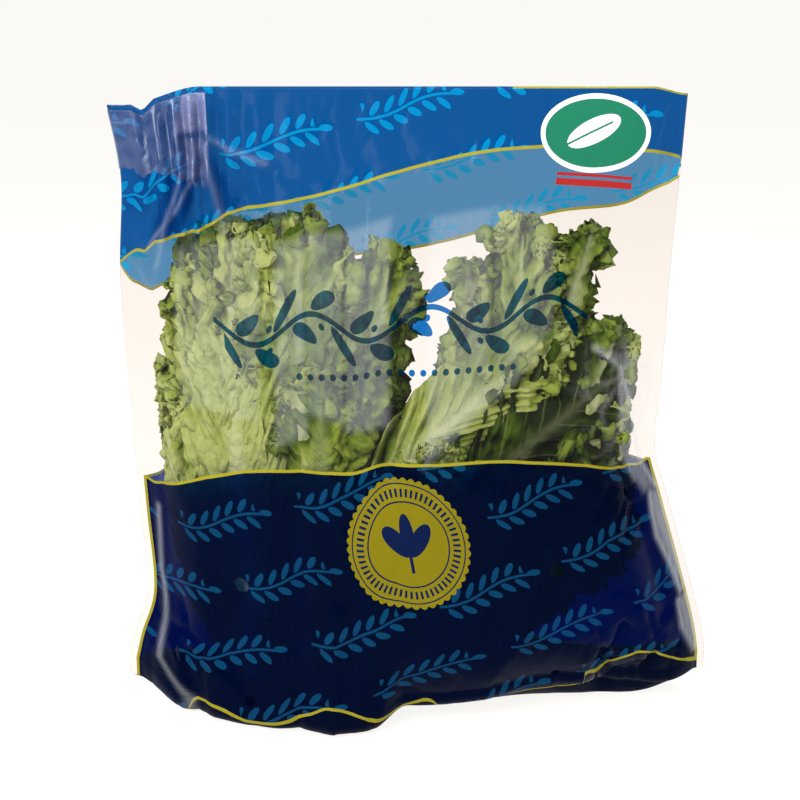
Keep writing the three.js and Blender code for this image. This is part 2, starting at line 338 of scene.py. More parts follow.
@dataclass(frozen=True)
class FilmRelief:
    """The film's own small wrinkles over the bag's form."""

    swell: Noise = Noise(3, 62)
    ripple: Noise = Noise(11, 21)
    facets: Creases = Creases(5, 25, 1.5, 14)
    shards: Creases = Creases(8, 11, 1.8, -12)
    # centre x, centre z, radius and strength of each crushed patch of the front
    front_patches: tuple[tuple[float, float, float, float], ...] = (
        (100, 150, 46, 1.0), (104, 96, 34, 0.9), (-112, 30, 34, 0.8), (98, 24, 44, 0.9),
        (-128, 205, 26, 0.8), (-100, 236, 44, 0.6), (-30, 30, 60, 0.2), (92, 226, 34, 0.3))
    back_seed_shift: float = 83.0  # reads the back's noise from another place
    glint_half: float = 1.4  # half the width of the painted glint along a long crease, in mm
    back_patches: tuple[tuple[float, float, float, float], ...] = (
        (100, 150, 40, 0.8), (-100, 236, 44, 1.0), (-90, 40, 50, 0.7), (80, 30, 50, 0.7),
        (0, 90, 70, 0.4))
    # long creases: their route, half width and depth, and the strength of a painted glint along each
    long_creases: tuple[LongCrease, ...] = (
        LongCrease(((240, 172.7), (253.5, 164.7), (277, 155.2)), 5, 2.0, 0.25),
        LongCrease(((253.5, 164.2), (263, 140.3), (271, 110.3), (275, 96.8)), 6, 3.0, 0.42),
        LongCrease(((253.5, 164.2), (254.5, 156.2), (259.5, 127.8), (266, 104)), 4, -2.0, 0.25),
        LongCrease(((277, 155), (272, 138.3), (266.5, 126.3), (270, 112)), 4, 2.0, 0.2),
        LongCrease(((271.5, 95.3), (270, 87.4), (269, 75.4), (272, 60.4), (274, 42.9)), 4, 2.5, 0.4),
        LongCrease(((271.5, 39.9), (270.5, 27.5), (275, 11)), 4, 2.0, 0.35),
        LongCrease(((11.5, 95.3), (8.5, 60.4), (14.5, 19)), 5, 2.0, 0.22),
        LongCrease(((14.5, 19), (20, 16), (34.5, 8)), 4, -1.5, 0.16),
        LongCrease(((48, 266), (61, 250), (75, 234.6)), 5, -2.5),
        LongCrease(((46, 262), (53, 244), (58, 226)), 5, 2.5, 0.12),
        LongCrease(((43.5, 255), (36, 238), (29.5, 219.6)), 5, -3.0),
        LongCrease(((38, 250), (27, 236), (14.5, 224.1)), 5, 2.5, 0.12),
        LongCrease(((48, 267), (60, 262), (77, 256)), 4, 2.0, 0.1),
        LongCrease(((30, 252), (22, 232), (20, 214)), 4, 2.0, 0.1),
        LongCrease(((20, 256), (12, 240), (8, 222)), 4, -2.0),
    )
    # facets whose pale sheen is painted: the light their flat faces catch, laid on as a milky veil over
    # what is behind
    painted_sheen_facets: tuple[Facet, ...] = (
        Facet(((31, 150), (71, 146), (74, 224), (30, 220)), 0.09),
        Facet(((80, 135), (96, 140), (96, 226), (81.5, 222)), 0.11),
        Facet(((96, 150), (115, 146), (115, 228), (96, 226)), 0.12),
        Facet(((115, 143), (137, 141), (137, 232), (115, 228)), 0.13),
        Facet(((156, 124), (177, 141), (188, 150), (186.5, 236), (156.5, 232)), 0.12),
        Facet(((188, 150), (202, 160), (218, 183), (218, 214), (211, 236), (187, 236)), 0.09),
        Facet(((240, 173), (253.5, 163), (276, 152), (277, 158), (258, 169)), 0.16),
        Facet(((254, 162), (256, 146), (259.5, 128), (268, 97), (275, 97), (271, 110), (263, 140)), 0.2),
        Facet(((254, 164), (263, 140), (266.5, 126), (272, 138), (275.5, 144), (277, 155)), 0.14),
        Facet(((269, 75), (272, 60), (274, 43), (278, 43), (276, 95), (271.5, 95)), 0.34),
        Facet(((270.5, 27.5), (275, 11), (278, 11), (278, 42), (272, 40)), 0.3),
        Facet(((2.5, 60), (8, 60), (13, 22), (4, 14)), 0.25),
    )
    # patches where the film lies folded on itself below the tape
    folded_facets: tuple[Facet, ...] = (
        Facet(((14, 224), (29, 219), (43, 255), (20, 256)), 1.0),
        Facet(((57, 226), (68, 231), (60, 250), (46, 262)), 0.8),
        Facet(((9, 262), (3, 240), (9, 238), (20, 257)), 0.6),
        Facet(((20, 257), (40, 253), (46, 262), (30, 270)), 0.7),
    )

    def marks(self, u: Array, level: Array) -> tuple[Array, Array, Array]:
        """The front's long creases and facets: their height, their painted glints and sheen, and how
        folded.
        """
        height, sheen_and_whitening, folded = (np.zeros(np.broadcast(u, level).shape) for _ in range(3))
        for crease in self.long_creases:
            away = crease.away(u, level)
            height += crease.depth * np.clip(1 - away / crease.half_width, 0, 1) ** 1.5
            sheen_and_whitening = np.maximum(sheen_and_whitening, crease.white * np.exp(-((away / self.glint_half) ** 2)))
        for facet in self.painted_sheen_facets:
            sheen_and_whitening = np.maximum(sheen_and_whitening, facet.share(u, level))
        for facet in self.folded_facets:
            folded = np.maximum(folded, facet.share(u, level))
        return height, sheen_and_whitening, folded

    def at(self, x: Array, z: Array, front: bool) -> tuple[Array, Array]:
        """The wrinkles at points of one wall: their height in mm, and how white the creases went."""
        crushed = np.full(x.shape, 0.12)
        for cx, cz, radius, strength in self.front_patches if front else self.back_patches:
            reach = np.hypot(x - cx, z - cz) / radius
            crushed = np.maximum(crushed, strength * (1 - smooth(0.3, 1.0, reach)))
        flip = 0.0 if front else self.back_seed_shift
        facets, shards = self.facets.away(x + flip, z), self.shards.away(x + flip, z)
        creases = 3.4 * np.exp(-facets / 2.6) + 1.3 * np.exp(-shards / 1.2)
        height = 0.9 * self.swell.at(x + flip, z) + (0.35 + crushed) * 0.5 * self.ripple.at(x, z + flip)
        lines = np.clip(np.exp(-facets / 0.9) + 0.6 * np.exp(-shards / 0.7), 0, 1)
        return height - crushed * creases, np.clip(crushed - 0.2, 0, 1) * lines


class Maker:
    """What every piece is made with: grids, finishing and the frame's calls."""

    shift = Vector((0.0, 0.0, 0.0))

    @classmethod
    def grid(cls, name: str, columns: int, rows: int) -> tuple[bpy.types.Object, Array, Array]:
        """Add a flat sheet of quads.

        Args:
            name: the piece's name.
            columns: quads across.
            rows: quads along.

        Returns:
            The object, and each vertex's place across and along the sheet, both from -1 to 1.
        """
        bpy.ops.object.select_all(action="DESELECT")
        bpy.ops.mesh.primitive_grid_add(x_subdivisions=columns, y_subdivisions=rows, size=2)
        sheet = bpy.context.object
        sheet.name = name
        sheet.data.name = name
        flat = np.empty(len(sheet.data.vertices) * 3)
        sheet.data.vertices.foreach_get("co", flat)
        flat = flat.reshape(-1, 3)
        return sheet, flat[:, 0].copy(), flat[:, 1].copy()

    @classmethod
    def place(cls, piece: bpy.types.Object, x: Array, y: Array, z: Array) -> None:
        """Move a sheet's vertices to places in mm."""
        points = np.column_stack([x, y, z]) * MM + np.array(cls.shift)
        piece.data.vertices.foreach_set("co", points.ravel())
        piece.data.update()

    @staticmethod
    def write(piece: bpy.types.Object, name: str, values: Array) -> None:
        """Keep one number for each vertex, for the finish to read."""
        layer = piece.data.attributes.new(name, "FLOAT", "POINT")
        layer.data.foreach_set("value", values.astype(np.float32))

    @staticmethod
    def only(piece: bpy.types.Object) -> None:
        """Select one piece and nothing else."""
        bpy.ops.object.select_all(action="DESELECT")
        piece.select_set(True)
        bpy.context.view_layer.objects.active = piece

    @classmethod
    def weld(cls, piece: bpy.types.Object, distance: float = 1e-6) -> None:
        """Join the vertices that lie on each other."""
        cls.only(piece)
        bpy.ops.object.mode_set(mode="EDIT")
        bpy.ops.mesh.select_all(action="SELECT")
        bpy.ops.mesh.remove_doubles(threshold=distance)
        bpy.ops.object.mode_set(mode="OBJECT")

    @classmethod
    def thicken(cls, piece: bpy.types.Object, thickness: float) -> None:
        """Give a sheet a wall thickness in mm, half to each side."""
        cls.only(piece)
        wall = piece.modifiers.new("wall", "SOLIDIFY")
        wall.thickness = thickness * MM
        wall.offset = 0.0
        bpy.ops.object.modifier_apply(modifier=wall.name)

    @classmethod
    def hand_over(cls, piece: bpy.types.Object, finish: bpy.types.Material, node: str) -> None:
        """Dress a finished piece, hang it on the body and hide the solid it stands for."""
        cls.only(piece)
        bpy.ops.object.shade_smooth()
        piece.data.materials.clear()
        piece.data.materials.append(finish)
        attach(piece, BODY)
        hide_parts(node)
        log.info("%s: %d vertices, %d faces",
                 piece.name, len(piece.data.vertices), len(piece.data.polygons))


Value = float | tuple | bpy.types.NodeSocket


class Shading:
    """A material's tree of nodes, written from its parts to its surface."""

    def __init__(self, name: str) -> None:
        """Start an empty tree."""
        self.material = bpy.data.materials.new(name)
        self.material.use_nodes = True
        self.tree = self.material.node_tree
        self.tree.nodes.clear()

    def add(self, kind: str, *inputs: Value, out: int | str = 0,
            **settings: object) -> bpy.types.NodeSocket:
        """Add a node with its settings and links.

        Args:
            kind: the node's type, or in capitals the operation of a Math node.
            inputs: what goes into the first sockets, in order, or one dict by socket name.
            out: which output is handed back.
            settings: the node's own settings.

        Returns:
            The output socket.
        """
        if kind.isupper():
            node = self.tree.nodes.new("ShaderNodeMath")
            node.operation = kind
        else:
            node = self.tree.nodes.new(kind)
        for key, value in settings.items():
            setattr(node, key, value)
        named = inputs[0] if inputs and isinstance(inputs[0], dict) else dict(enumerate(inputs))
        for key, value in named.items():
            if isinstance(value, tuple) and isinstance(value[0], str):
                value = self.add(*value)
            if isinstance(value, bpy.types.NodeSocket):
                self.tree.links.new(value, node.inputs[key])
            else:
                node.inputs[key].default_value = value
        return node.outputs[out]

    def surface(self, shader: bpy.types.NodeSocket) -> bpy.types.Material:
        """Close the tree with its surface."""
        end = self.tree.nodes.new("ShaderNodeOutputMaterial")
        self.tree.links.new(shader, end.inputs["Surface"])
        return self.material


@dataclass(frozen=True)
class Ink:
    """One colour of the print: what passes through it, and what it covers."""

    passes: str
    body: str
    cover: float


class Inks(Enum):
    """The print's colours. Process inks are see-through; spot inks lie on a white underprint."""

    CLEAR = Ink("#fbf7f4", "#eceae6", 0.006)
    BLUE = Ink("#5894c0", "#0268b8", 0.17)
    DEEP = Ink("#0842a0", "#000e30", 0.5)
    CYAN = Ink("#1ca4d6", "#0898d0", 0.5)
    YELLOW = Ink("#e6dc5a", "#a29828", 0.86)
    TEAL = Ink("#1878a8", "#0c4a74", 0.6)
    SEAL = Ink("#d0c838", "#827714", 0.96)
    NAVY = Ink("#1a2648", "#0c1c44", 0.94)
    SCRIPT = Ink("#1878c8", "#08406c", 0.14)
    GREEN = Ink("#3c9a78", "#24785a", 0.96)
    WHITE = Ink("#f0f0ee", "#eef0ee", 0.94)
    RED = Ink("#c04038", "#a82c28", 0.96)
    GUSSET = Ink("#0c1c48", "#010a24", 0.8)


Layer = tuple[Inks, bpy.types.NodeSocket]


@dataclass(frozen=True)
class BandEdges:
    """Edges of the print on one wall: places across the film, and heights up the wall, in mm."""

    top: tuple[Pair, ...]
    low: tuple[Pair, ...]
    foot: tuple[Pair, ...]

    @staticmethod
    def height(edge: tuple[Pair, ...], u: Array) -> Array:
        """Height of an edge at places across the film."""
        line = line_through(edge)
        return np.interp(u, line[:, 0], line[:, 1])


FRONT_PRINT = BandEdges(
    top=((0, 214), (14, 224), (42, 227.5), (64, 236), (94, 242), (120, 248), (172, 259.5), (206, 262.5),
         (240, 262), (280, 259)),
    low=((0, 104), (14, 107), (33, 114.8), (51, 119.3), (72, 122.8), (118, 123.8), (182, 122.8),
         (212, 120.3), (244, 115.5), (280, 108)),
    foot=((0, -3), (26, -3), (34, 9), (46, 9.7), (63, 6.5), (80, 8), (90, 12), (99, 16.5), (109, 13.5),
          (120, 8.5), (132, 5), (146, 7.3), (160, -3), (214, -3), (220, 9), (228, 9), (237, 17),
          (246, 21.5), (257, 20), (270, 10), (280, 5)),
)
BACK_PRINT = BandEdges(
    top=((0, 212), (17, 201), (80, 206), (150, 213), (194, 223.6), (224, 231.6), (258, 236),
         (280, 250)),
    low=((0, 104), (60, 116), (140, 122), (220, 118), (280, 106)),
    foot=((0, 10), (280, 12)),
)


class PrintedFilm:
    """Cast polypropylene film, flexo printed: glossy, a little hazy, see-through in its inks too."""

    line = 1.4  # a yellow line's width in mm
    border = 3.4  # clear film outside the side lines
    back_offset = 400.0  # the back wall's place in the film's own map, in mm
    slant = 13.0  # the sprigs climb to the right
    leaflet_angle = 42.0  # from the stem, in degrees
    row_shift = 0.39  # how far each row of sprigs is set over, as a share of its pitch
    sprig_pitch = (66.0, 31.0)  # along a row and from row to row, in mm
    sprig_start = (18.0, 12.0)
    spare = 0.1  # mm by which a band's area reaches past its yellow line
    vine_middle = (143.0, 187.5)
    vine_wave = (58.0, 6.4)  # length and height of one wave
    seal_middle = (142.0, 88.5)
    seal_radius = 29.2
    label_middle = (236.0, 267.5)
    mouth = 288.0  # height of the mouth up the print

    def __init__(self) -> None:
        """Read the film's own map, in mm."""
        self.s = Shading("printed_polypropylene_film")
        uv = self.s.add("ShaderNodeUVMap", uv_map="film")
        spread = self.s.add("ShaderNodeSeparateXYZ", uv, out="X")
        self.v = self.s.add("MULTIPLY", self.s.add("ShaderNodeSeparateXYZ", uv, out="Y"), 1000.0)
        whole = self.s.add("MULTIPLY", spread, 1000.0)
        self.back = self.s.add("GREATER_THAN", whole, 350.0)
        self.front = self.s.add("SUBTRACT", 1.0, self.back)
        self.u = self.s.add("SUBTRACT", whole, ("MULTIPLY", self.back, self.back_offset))
        self.script = self.vine()

    def gap(self, name: str) -> bpy.types.NodeSocket:
        """Distance in mm to an edge of the print, kept on the film."""
        return self.s.add("ShaderNodeAttribute", attribute_name=name, out="Fac")

    def between(self, value: Value, low: float, high: float) -> tuple:
        """1 where a value lies between two limits."""
        return ("MULTIPLY", ("GREATER_THAN", value, low), ("LESS_THAN", value, high))

    def turned(self, x: Value, y: Value,
               degrees: float) -> tuple[bpy.types.NodeSocket, bpy.types.NodeSocket]:
        """A place read in axes turned by an angle."""
        c, s = math.cos(math.radians(degrees)), math.sin(math.radians(degrees))
        along = self.s.add("ADD", ("MULTIPLY", x, c), ("MULTIPLY", y, s))
        over = self.s.add("SUBTRACT", ("MULTIPLY", y, c), ("MULTIPLY", x, s))
        return along, over

    def ellipse(self, x: Value, y: Value, half: Pair) -> bpy.types.NodeSocket:
        """1 inside an ellipse about the middle."""
        square = ("ADD", ("POWER", ("DIVIDE", ("ABSOLUTE", x), half[0]), 2.0),
                  ("POWER", ("DIVIDE", ("ABSOLUTE", y), half[1]), 2.0))
        return self.s.add("LESS_THAN", square, 1.0)

    def leaflets(self, x: Value, y: Value, pitch: float, leaf: Pair, out: float,
                 reach: float) -> bpy.types.NodeSocket:
        """Pairs of leaflets along a stem that runs along x.

        Args:
            x, y: place along the stem and over it.
            pitch: from one leaflet to the next.
            leaf: a leaflet's half length and half width.
            out: from the stem to a leaflet's middle.
            reach: how far the leaflets run each way.

        Returns:
            1 on a leaflet.
        """
        upper = self.s.add("GREATER_THAN", y, 0.0)
        step = self.s.add("ADD", ("DIVIDE", x, pitch), ("MULTIPLY", upper, 0.5))
        local = self.s.add("MULTIPLY", ("SUBTRACT", ("FRACT", step), 0.5), pitch)
        over = self.s.add("SUBTRACT", ("ABSOLUTE", y), out)
        a, b = self.turned(local, over, self.leaflet_angle)
        return self.s.add("MULTIPLY", self.ellipse(a, b, leaf), ("LESS_THAN", ("ABSOLUTE", x), reach))

    def sprigs(self, pitch: Pair, shift: Pair) -> bpy.types.NodeSocket:
        """Rows of slanting sprigs, each row set over from the last.

        Args:
            pitch: from one sprig to the next, along a row and from row to row.
            shift: where the rows start.

        Returns:
            1 on a sprig.
        """
        across, up = ("SUBTRACT", self.u, shift[0]), ("SUBTRACT", self.v, shift[1])
        along, over = self.turned(across, up, self.slant)
        row = self.s.add("FLOOR", ("DIVIDE", over, pitch[1]))
        fy = self.s.add("MULTIPLY", ("SUBTRACT", ("FRACT", ("DIVIDE", over, pitch[1])), 0.5), pitch[1])
        place = self.s.add("ADD", ("DIVIDE", along, pitch[0]), ("MULTIPLY", row, self.row_shift))
        fx = self.s.add("MULTIPLY", ("SUBTRACT", ("FRACT", place), 0.5), pitch[0])
        bow = self.s.add("SUBTRACT", fy, ("MULTIPLY", ("SINE", ("MULTIPLY", fx, 0.13)), 1.7))
        stem = ("MULTIPLY", ("LESS_THAN", ("ABSOLUTE", bow), 0.6),
                ("LESS_THAN", ("ABSOLUTE", fx), 24.5))
        leaves = self.leaflets(fx, bow, 7.4, (3.9, 1.5), 4.0, 21.0)
        bud = self.ellipse(("SUBTRACT", fx, 26.0), ("SUBTRACT", bow, 0.6), (3.2, 1.5))
        return self.s.add("MAXIMUM", ("MAXIMUM", stem, leaves), bud)

    def vine(self) -> bpy.types.NodeSocket:
        """A waving vine of blue ink across the clear window, with a dotted line under it."""
        middle_u, middle_v = self.vine_middle
        length, height = self.vine_wave
        x, y = self.turned(("SUBTRACT", self.u, middle_u), ("SUBTRACT", self.v, middle_v), 1.5)
        swing = ("SINE", ("MULTIPLY", x, 2 * math.pi / length))
        wave = self.s.add("SUBTRACT", y, ("MULTIPLY", swing, height))
        stem = ("MULTIPLY", ("LESS_THAN", ("ABSOLUTE", wave), 1.25),
                ("LESS_THAN", ("ABSOLUTE", x), 93.0))
        leaves = self.leaflets(x, wave, 19.0, (7.6, 2.9), 7.2, 88.0)
        berries = self.ellipse(
            ("MULTIPLY", ("SUBTRACT", ("FRACT", ("DIVIDE", x, 26.0)), 0.5), 26.0),
            ("SUBTRACT", ("ABSOLUTE", wave), 4.6), (1.5, 1.5))
        berries = ("MULTIPLY", berries, ("LESS_THAN", ("ABSOLUTE", x), 80.0))
        dots_x = ("MULTIPLY", ("SUBTRACT", ("FRACT", ("DIVIDE", self.u, 5.6)), 0.5), 5.6)
        dots = self.s.add("MULTIPLY", self.ellipse(dots_x, ("SUBTRACT", self.v, 165.6), (1.5, 1.5)),
                          self.between(self.u, 89.0, 201.0))
        marks = self.s.add("MAXIMUM", ("MAXIMUM", stem, leaves), ("MAXIMUM", berries, dots))
        return self.s.add("MULTIPLY", marks, self.front)

    def seal(self) -> tuple[bpy.types.NodeSocket, bpy.types.NodeSocket]:
        """A round yellow seal with a toothed rim, and the navy marks on it."""
        x = self.s.add("SUBTRACT", self.u, self.seal_middle[0])
        y = self.s.add("SUBTRACT", self.v, self.seal_middle[1])
        radius = self.s.add("SQRT", ("ADD", ("MULTIPLY", x, x), ("MULTIPLY", y, y)))
        angle = self.s.add("ARCTAN2", y, x)
        teeth = ("MULTIPLY", ("ABSOLUTE", ("SINE", ("MULTIPLY", angle, 22.0))), 1.3)
        disc = self.s.add("MULTIPLY", ("LESS_THAN", radius, ("ADD", teeth, self.seal_radius)), self.front)
        ring = self.between(radius, 19.6, 20.3)
        rim = self.between(radius, 27.4, 28.0)
        ticks = ("MULTIPLY", self.between(radius, 22.0, 25.6),
                 ("GREATER_THAN", ("SINE", ("MULTIPLY", angle, 58.0)), 0.15))
        left = self.ellipse(*self.turned(("ADD", x, 5.6), ("SUBTRACT", y, 1.6), 128), (9.2, 4.2))
        right = self.ellipse(*self.turned(("SUBTRACT", x, 5.6), ("SUBTRACT", y, 1.6), 52), (9.2, 4.2))
        middle = self.ellipse(x, ("SUBTRACT", y, 5.0), (3.4, 9.6))
        stem = self.s.add("MULTIPLY", self.between(x, -0.8, 0.8), self.between(y, -13.5, -3.0))
        sprout = self.s.add("MAXIMUM", ("MAXIMUM", left, right), ("MAXIMUM", middle, stem))
        marks = self.s.add("MAXIMUM", ("MAXIMUM", ("MAXIMUM", ring, rim), ticks), sprout)
        return disc, self.s.add("MULTIPLY", marks, disc)

    def label(self) -> dict[Inks, bpy.types.NodeSocket]:
        """A round green label with a white rim and one white leaf, and two red stripes beside it."""
        x = self.s.add("SUBTRACT", self.u, self.label_middle[0])
        y = self.s.add("SUBTRACT", self.v, self.label_middle[1])
        rim = self.s.add("MULTIPLY", self.ellipse(x, y, (27.0, 17.5)), self.front)
        green = self.ellipse(x, y, (24.7, 15.2))
        leaf_x, leaf_y = self.turned(("ADD", x, 1.0), ("SUBTRACT", y, 1.0), 24)
        leaf = self.ellipse(leaf_x, leaf_y, (14.0, 5.4))
        vein = self.s.add("MULTIPLY", self.between(leaf_y, -0.45, 0.45),
                          self.between(leaf_x, -19.0, 10.0))
        white = self.s.add("MAXIMUM", ("SUBTRACT", rim, ("MULTIPLY", rim, green)),
                           ("MULTIPLY", ("MULTIPLY", leaf, green), ("SUBTRACT", 1.0, vein)))
        bar_x, bar_y = self.turned(x, ("ADD", y, 21.0), -4)
        bars = ("MAXIMUM", self.between(bar_y, -2.6, 0.4), self.between(bar_y, 1.6, 3.0))
        red = self.s.add("MULTIPLY", ("MULTIPLY", bars, self.between(bar_x, -19.0, 19.0)), self.front)
        return {Inks.GREEN: rim, Inks.WHITE: self.s.add("MULTIPLY", white, rim), Inks.RED: red}

    def areas(self) -> tuple[list[Layer], list[Layer], list[Layer]]:
        """The inks of the clear window, the upper band and the lower band, in the order of printing."""
        top, low, foot, side = (
            self.gap(name) for name in ("top_gap", "low_gap", "foot_gap", "side_gap"))
        label = self.label()
        window = [(Inks.SCRIPT, self.script), *label.items()]

        upper = self.s.add("GREATER_THAN", top, 0.0)
        mouth_line = self.s.add("MULTIPLY", ("GREATER_THAN", self.v, self.mouth - self.line * 0.6),
                                ("GREATER_THAN", self.u, 196.0))
        top_lines = self.s.add("MAXIMUM", self.between(top, -self.line, 0.0), mouth_line)
        off_label = ("SUBTRACT", 1.0, ("MAXIMUM", label[Inks.GREEN], label[Inks.RED]))
        shown = self.sprigs(self.sprig_pitch, self.sprig_start)
        sprigs = self.s.add("MULTIPLY", ("MULTIPLY", shown, upper), off_label)
        over = [(Inks.BLUE, upper), (Inks.CYAN, sprigs), (Inks.YELLOW, top_lines), *label.items()]

        bordered = self.s.add("GREATER_THAN", side, self.border)
        panel = self.s.add("MULTIPLY", ("GREATER_THAN", low, 0.0), ("GREATER_THAN", foot, 0.0))
        lower = self.s.add("MULTIPLY", panel, ("GREATER_THAN", side, self.border + self.line))
        low_line = ("MULTIPLY", self.between(low, -self.line, 0.0), bordered)
        foot_line = ("MULTIPLY", self.between(foot, -self.line, 0.0), bordered)
        side_line = ("MULTIPLY", panel, self.between(side, self.border, self.border + self.line))
        low_lines = self.s.add("MAXIMUM", ("MAXIMUM", foot_line, side_line), low_line)
        right_end = ("MULTIPLY", self.between(self.u, 218.0, 250.0), self.front)
        strip = ("ADD", self.line, ("MULTIPLY", right_end, 4.2))
        gusset = self.s.add("MULTIPLY", ("LESS_THAN", ("ADD", foot, strip), 0.0), bordered)
        disc, marks = self.seal()
        shown = self.sprigs(self.sprig_pitch, self.sprig_start)
        dim_sprigs = self.s.add("MULTIPLY", ("MULTIPLY", shown, lower), ("SUBTRACT", 1.0, disc))
        under = [(Inks.DEEP, lower), (Inks.GUSSET, gusset), (Inks.TEAL, dim_sprigs),
                 (Inks.YELLOW, low_lines), (Inks.SEAL, disc), (Inks.NAVY, marks)]
        return window, over, under

    def bump(self) -> bpy.types.NodeSocket:
        """Slack film's shallow cockle, 18 mm apart, and one of 4 mm, drawn coarse enough to show."""
        uv = self.s.add("ShaderNodeUVMap", uv_map="film")
        slack = self.s.add("ShaderNodeTexNoise", {"Vector": uv, "Scale": 1 / 0.018, "Detail": 2.0},
                           out="Fac")
        fine = self.s.add("ShaderNodeTexNoise", {"Vector": uv, "Scale": 1 / 0.004, "Detail": 1.0},
                          out="Fac")
        height = self.s.add("ADD", ("MULTIPLY", slack, 1.0), ("MULTIPLY", fine, 0.12))
        return self.s.add("ShaderNodeBump", {"Height": height, "Strength": 0.5, "Distance": 0.0016})

    def area(self, layers: list[Layer], sheen_and_whitening: Value, bump: Value,
             facing: Value) -> bpy.types.NodeSocket:
        """Shade one area of the film.

        Args:
            layers: its inks and where they lie, in the order of printing.
            sheen_and_whitening: how strongly the pale veil shows: painted glints and sheen, and the white
                of crushed creases.
            bump: the film's cockle.
            facing: 0 where the film faces the eye, and 1 at its rim.

        Returns:
            The area's shader: inks over clear film, the pale veil of painted sheen and crease whitening,
            then the gloss.
        """
        clear = Inks.CLEAR.value
        passes, body, cover = linear(clear.passes), linear(clear.body), clear.cover
        for ink, mask in layers:
            tone = ink.value
            passes = self.s.add("ShaderNodeMix", {"Factor": mask, 6: passes, 7: linear(tone.passes)},
                                out=2, data_type="RGBA")
            body = self.s.add("ShaderNodeMix", {"Factor": mask, 6: body, 7: linear(tone.body)},
                              out=2, data_type="RGBA")
            cover = self.s.add("ShaderNodeMix", {"Factor": mask, "A": cover, "B": tone.cover})
        doubled = self.s.add("ShaderNodeMix", {"Factor": 1.0, 6: passes, 7: passes},
                             out=2, data_type="RGBA", blend_type="MULTIPLY")
        passes = self.s.add("ShaderNodeMix", {"Factor": self.gap("folded"), 6: passes, 7: doubled},
                            out=2, data_type="RGBA")
        see_through = self.s.add("ShaderNodeBsdfTransparent", {"Color": passes})
        printed = self.s.add("ShaderNodeBsdfPrincipled", {
            "Base Color": body, "Roughness": 0.32, "Specular IOR Level": 0.0, "Normal": bump})
        web = self.s.add("ShaderNodeMixShader", cover, see_through, printed)
        # a pale veil: painted sheen and glints on creases and facets, and the white of crushed creases
        sheen_and_whitening_veil = self.s.add("ShaderNodeBsdfDiffuse", {"Color": linear("#dfe3e8")})
        web = self.s.add("ShaderNodeMixShader", sheen_and_whitening, web, sheen_and_whitening_veil)
        sheen = self.s.add("SUBTRACT", 1.0, ("MULTIPLY", ("MINIMUM", cover, 0.2), 3.5))
        shine = self.s.add("MULTIPLY", sheen, ("ADD", 0.005, ("MULTIPLY", ("POWER", facing, 4.0), 0.32)))
        gloss = self.s.add("ShaderNodeBsdfGlossy", {
            "Color": (1, 1, 1, 1), "Roughness": 0.11, "Normal": bump})
        return self.s.add("ShaderNodeMixShader", shine, web, gloss)

    def build(self) -> bpy.types.Material:
        """Shade the window and both bands, each as an area of its own, which is quick to render."""
        bump = self.bump()
        facing = self.s.add("ShaderNodeLayerWeight", {"Blend": 0.5, "Normal": bump}, out="Facing")
        # the pale veil is broken into streaks along the film: painted sheen, and the white of crushed
        # creases
        streaks = self.s.add("ShaderNodeTexNoise", {
            "Vector": self.s.add("ShaderNodeMapping", {
                "Vector": self.s.add("ShaderNodeUVMap", uv_map="film"),
                "Scale": (1 / 0.0025, 1 / 0.03, 1.0)}),
            "Scale": 1.0, "Detail": 3.0}, out="Fac")
        sheen_and_whitening = self.s.add("MULTIPLY", self.gap("sheen_and_whitening"), ("ADD", 0.7, ("MULTIPLY", streaks, 0.6)))
        thinner = self.s.add("MULTIPLY", sheen_and_whitening, ("SUBTRACT", 1.0, ("MULTIPLY", self.script, 0.8)))
        window, over, under = self.areas()
        clear = self.area(window, thinner, bump, facing)
        above = self.s.add("GREATER_THAN", self.gap("top_gap"), -self.line - self.spare)
        upper = self.s.add("ShaderNodeMixShader", above, clear, self.area(over, sheen_and_whitening, bump, facing))
        below = self.s.add("GREATER_THAN", self.gap("low_gap"), -self.line - self.spare)
        return self.s.surface(
            self.s.add("ShaderNodeMixShader", below, upper, self.area(under, sheen_and_whitening, bump, facing)))


@dataclass(frozen=True)
class VentHole:
    """A punched hole in the front wall."""

    u: float
    level: float
    radius: float = 3.4


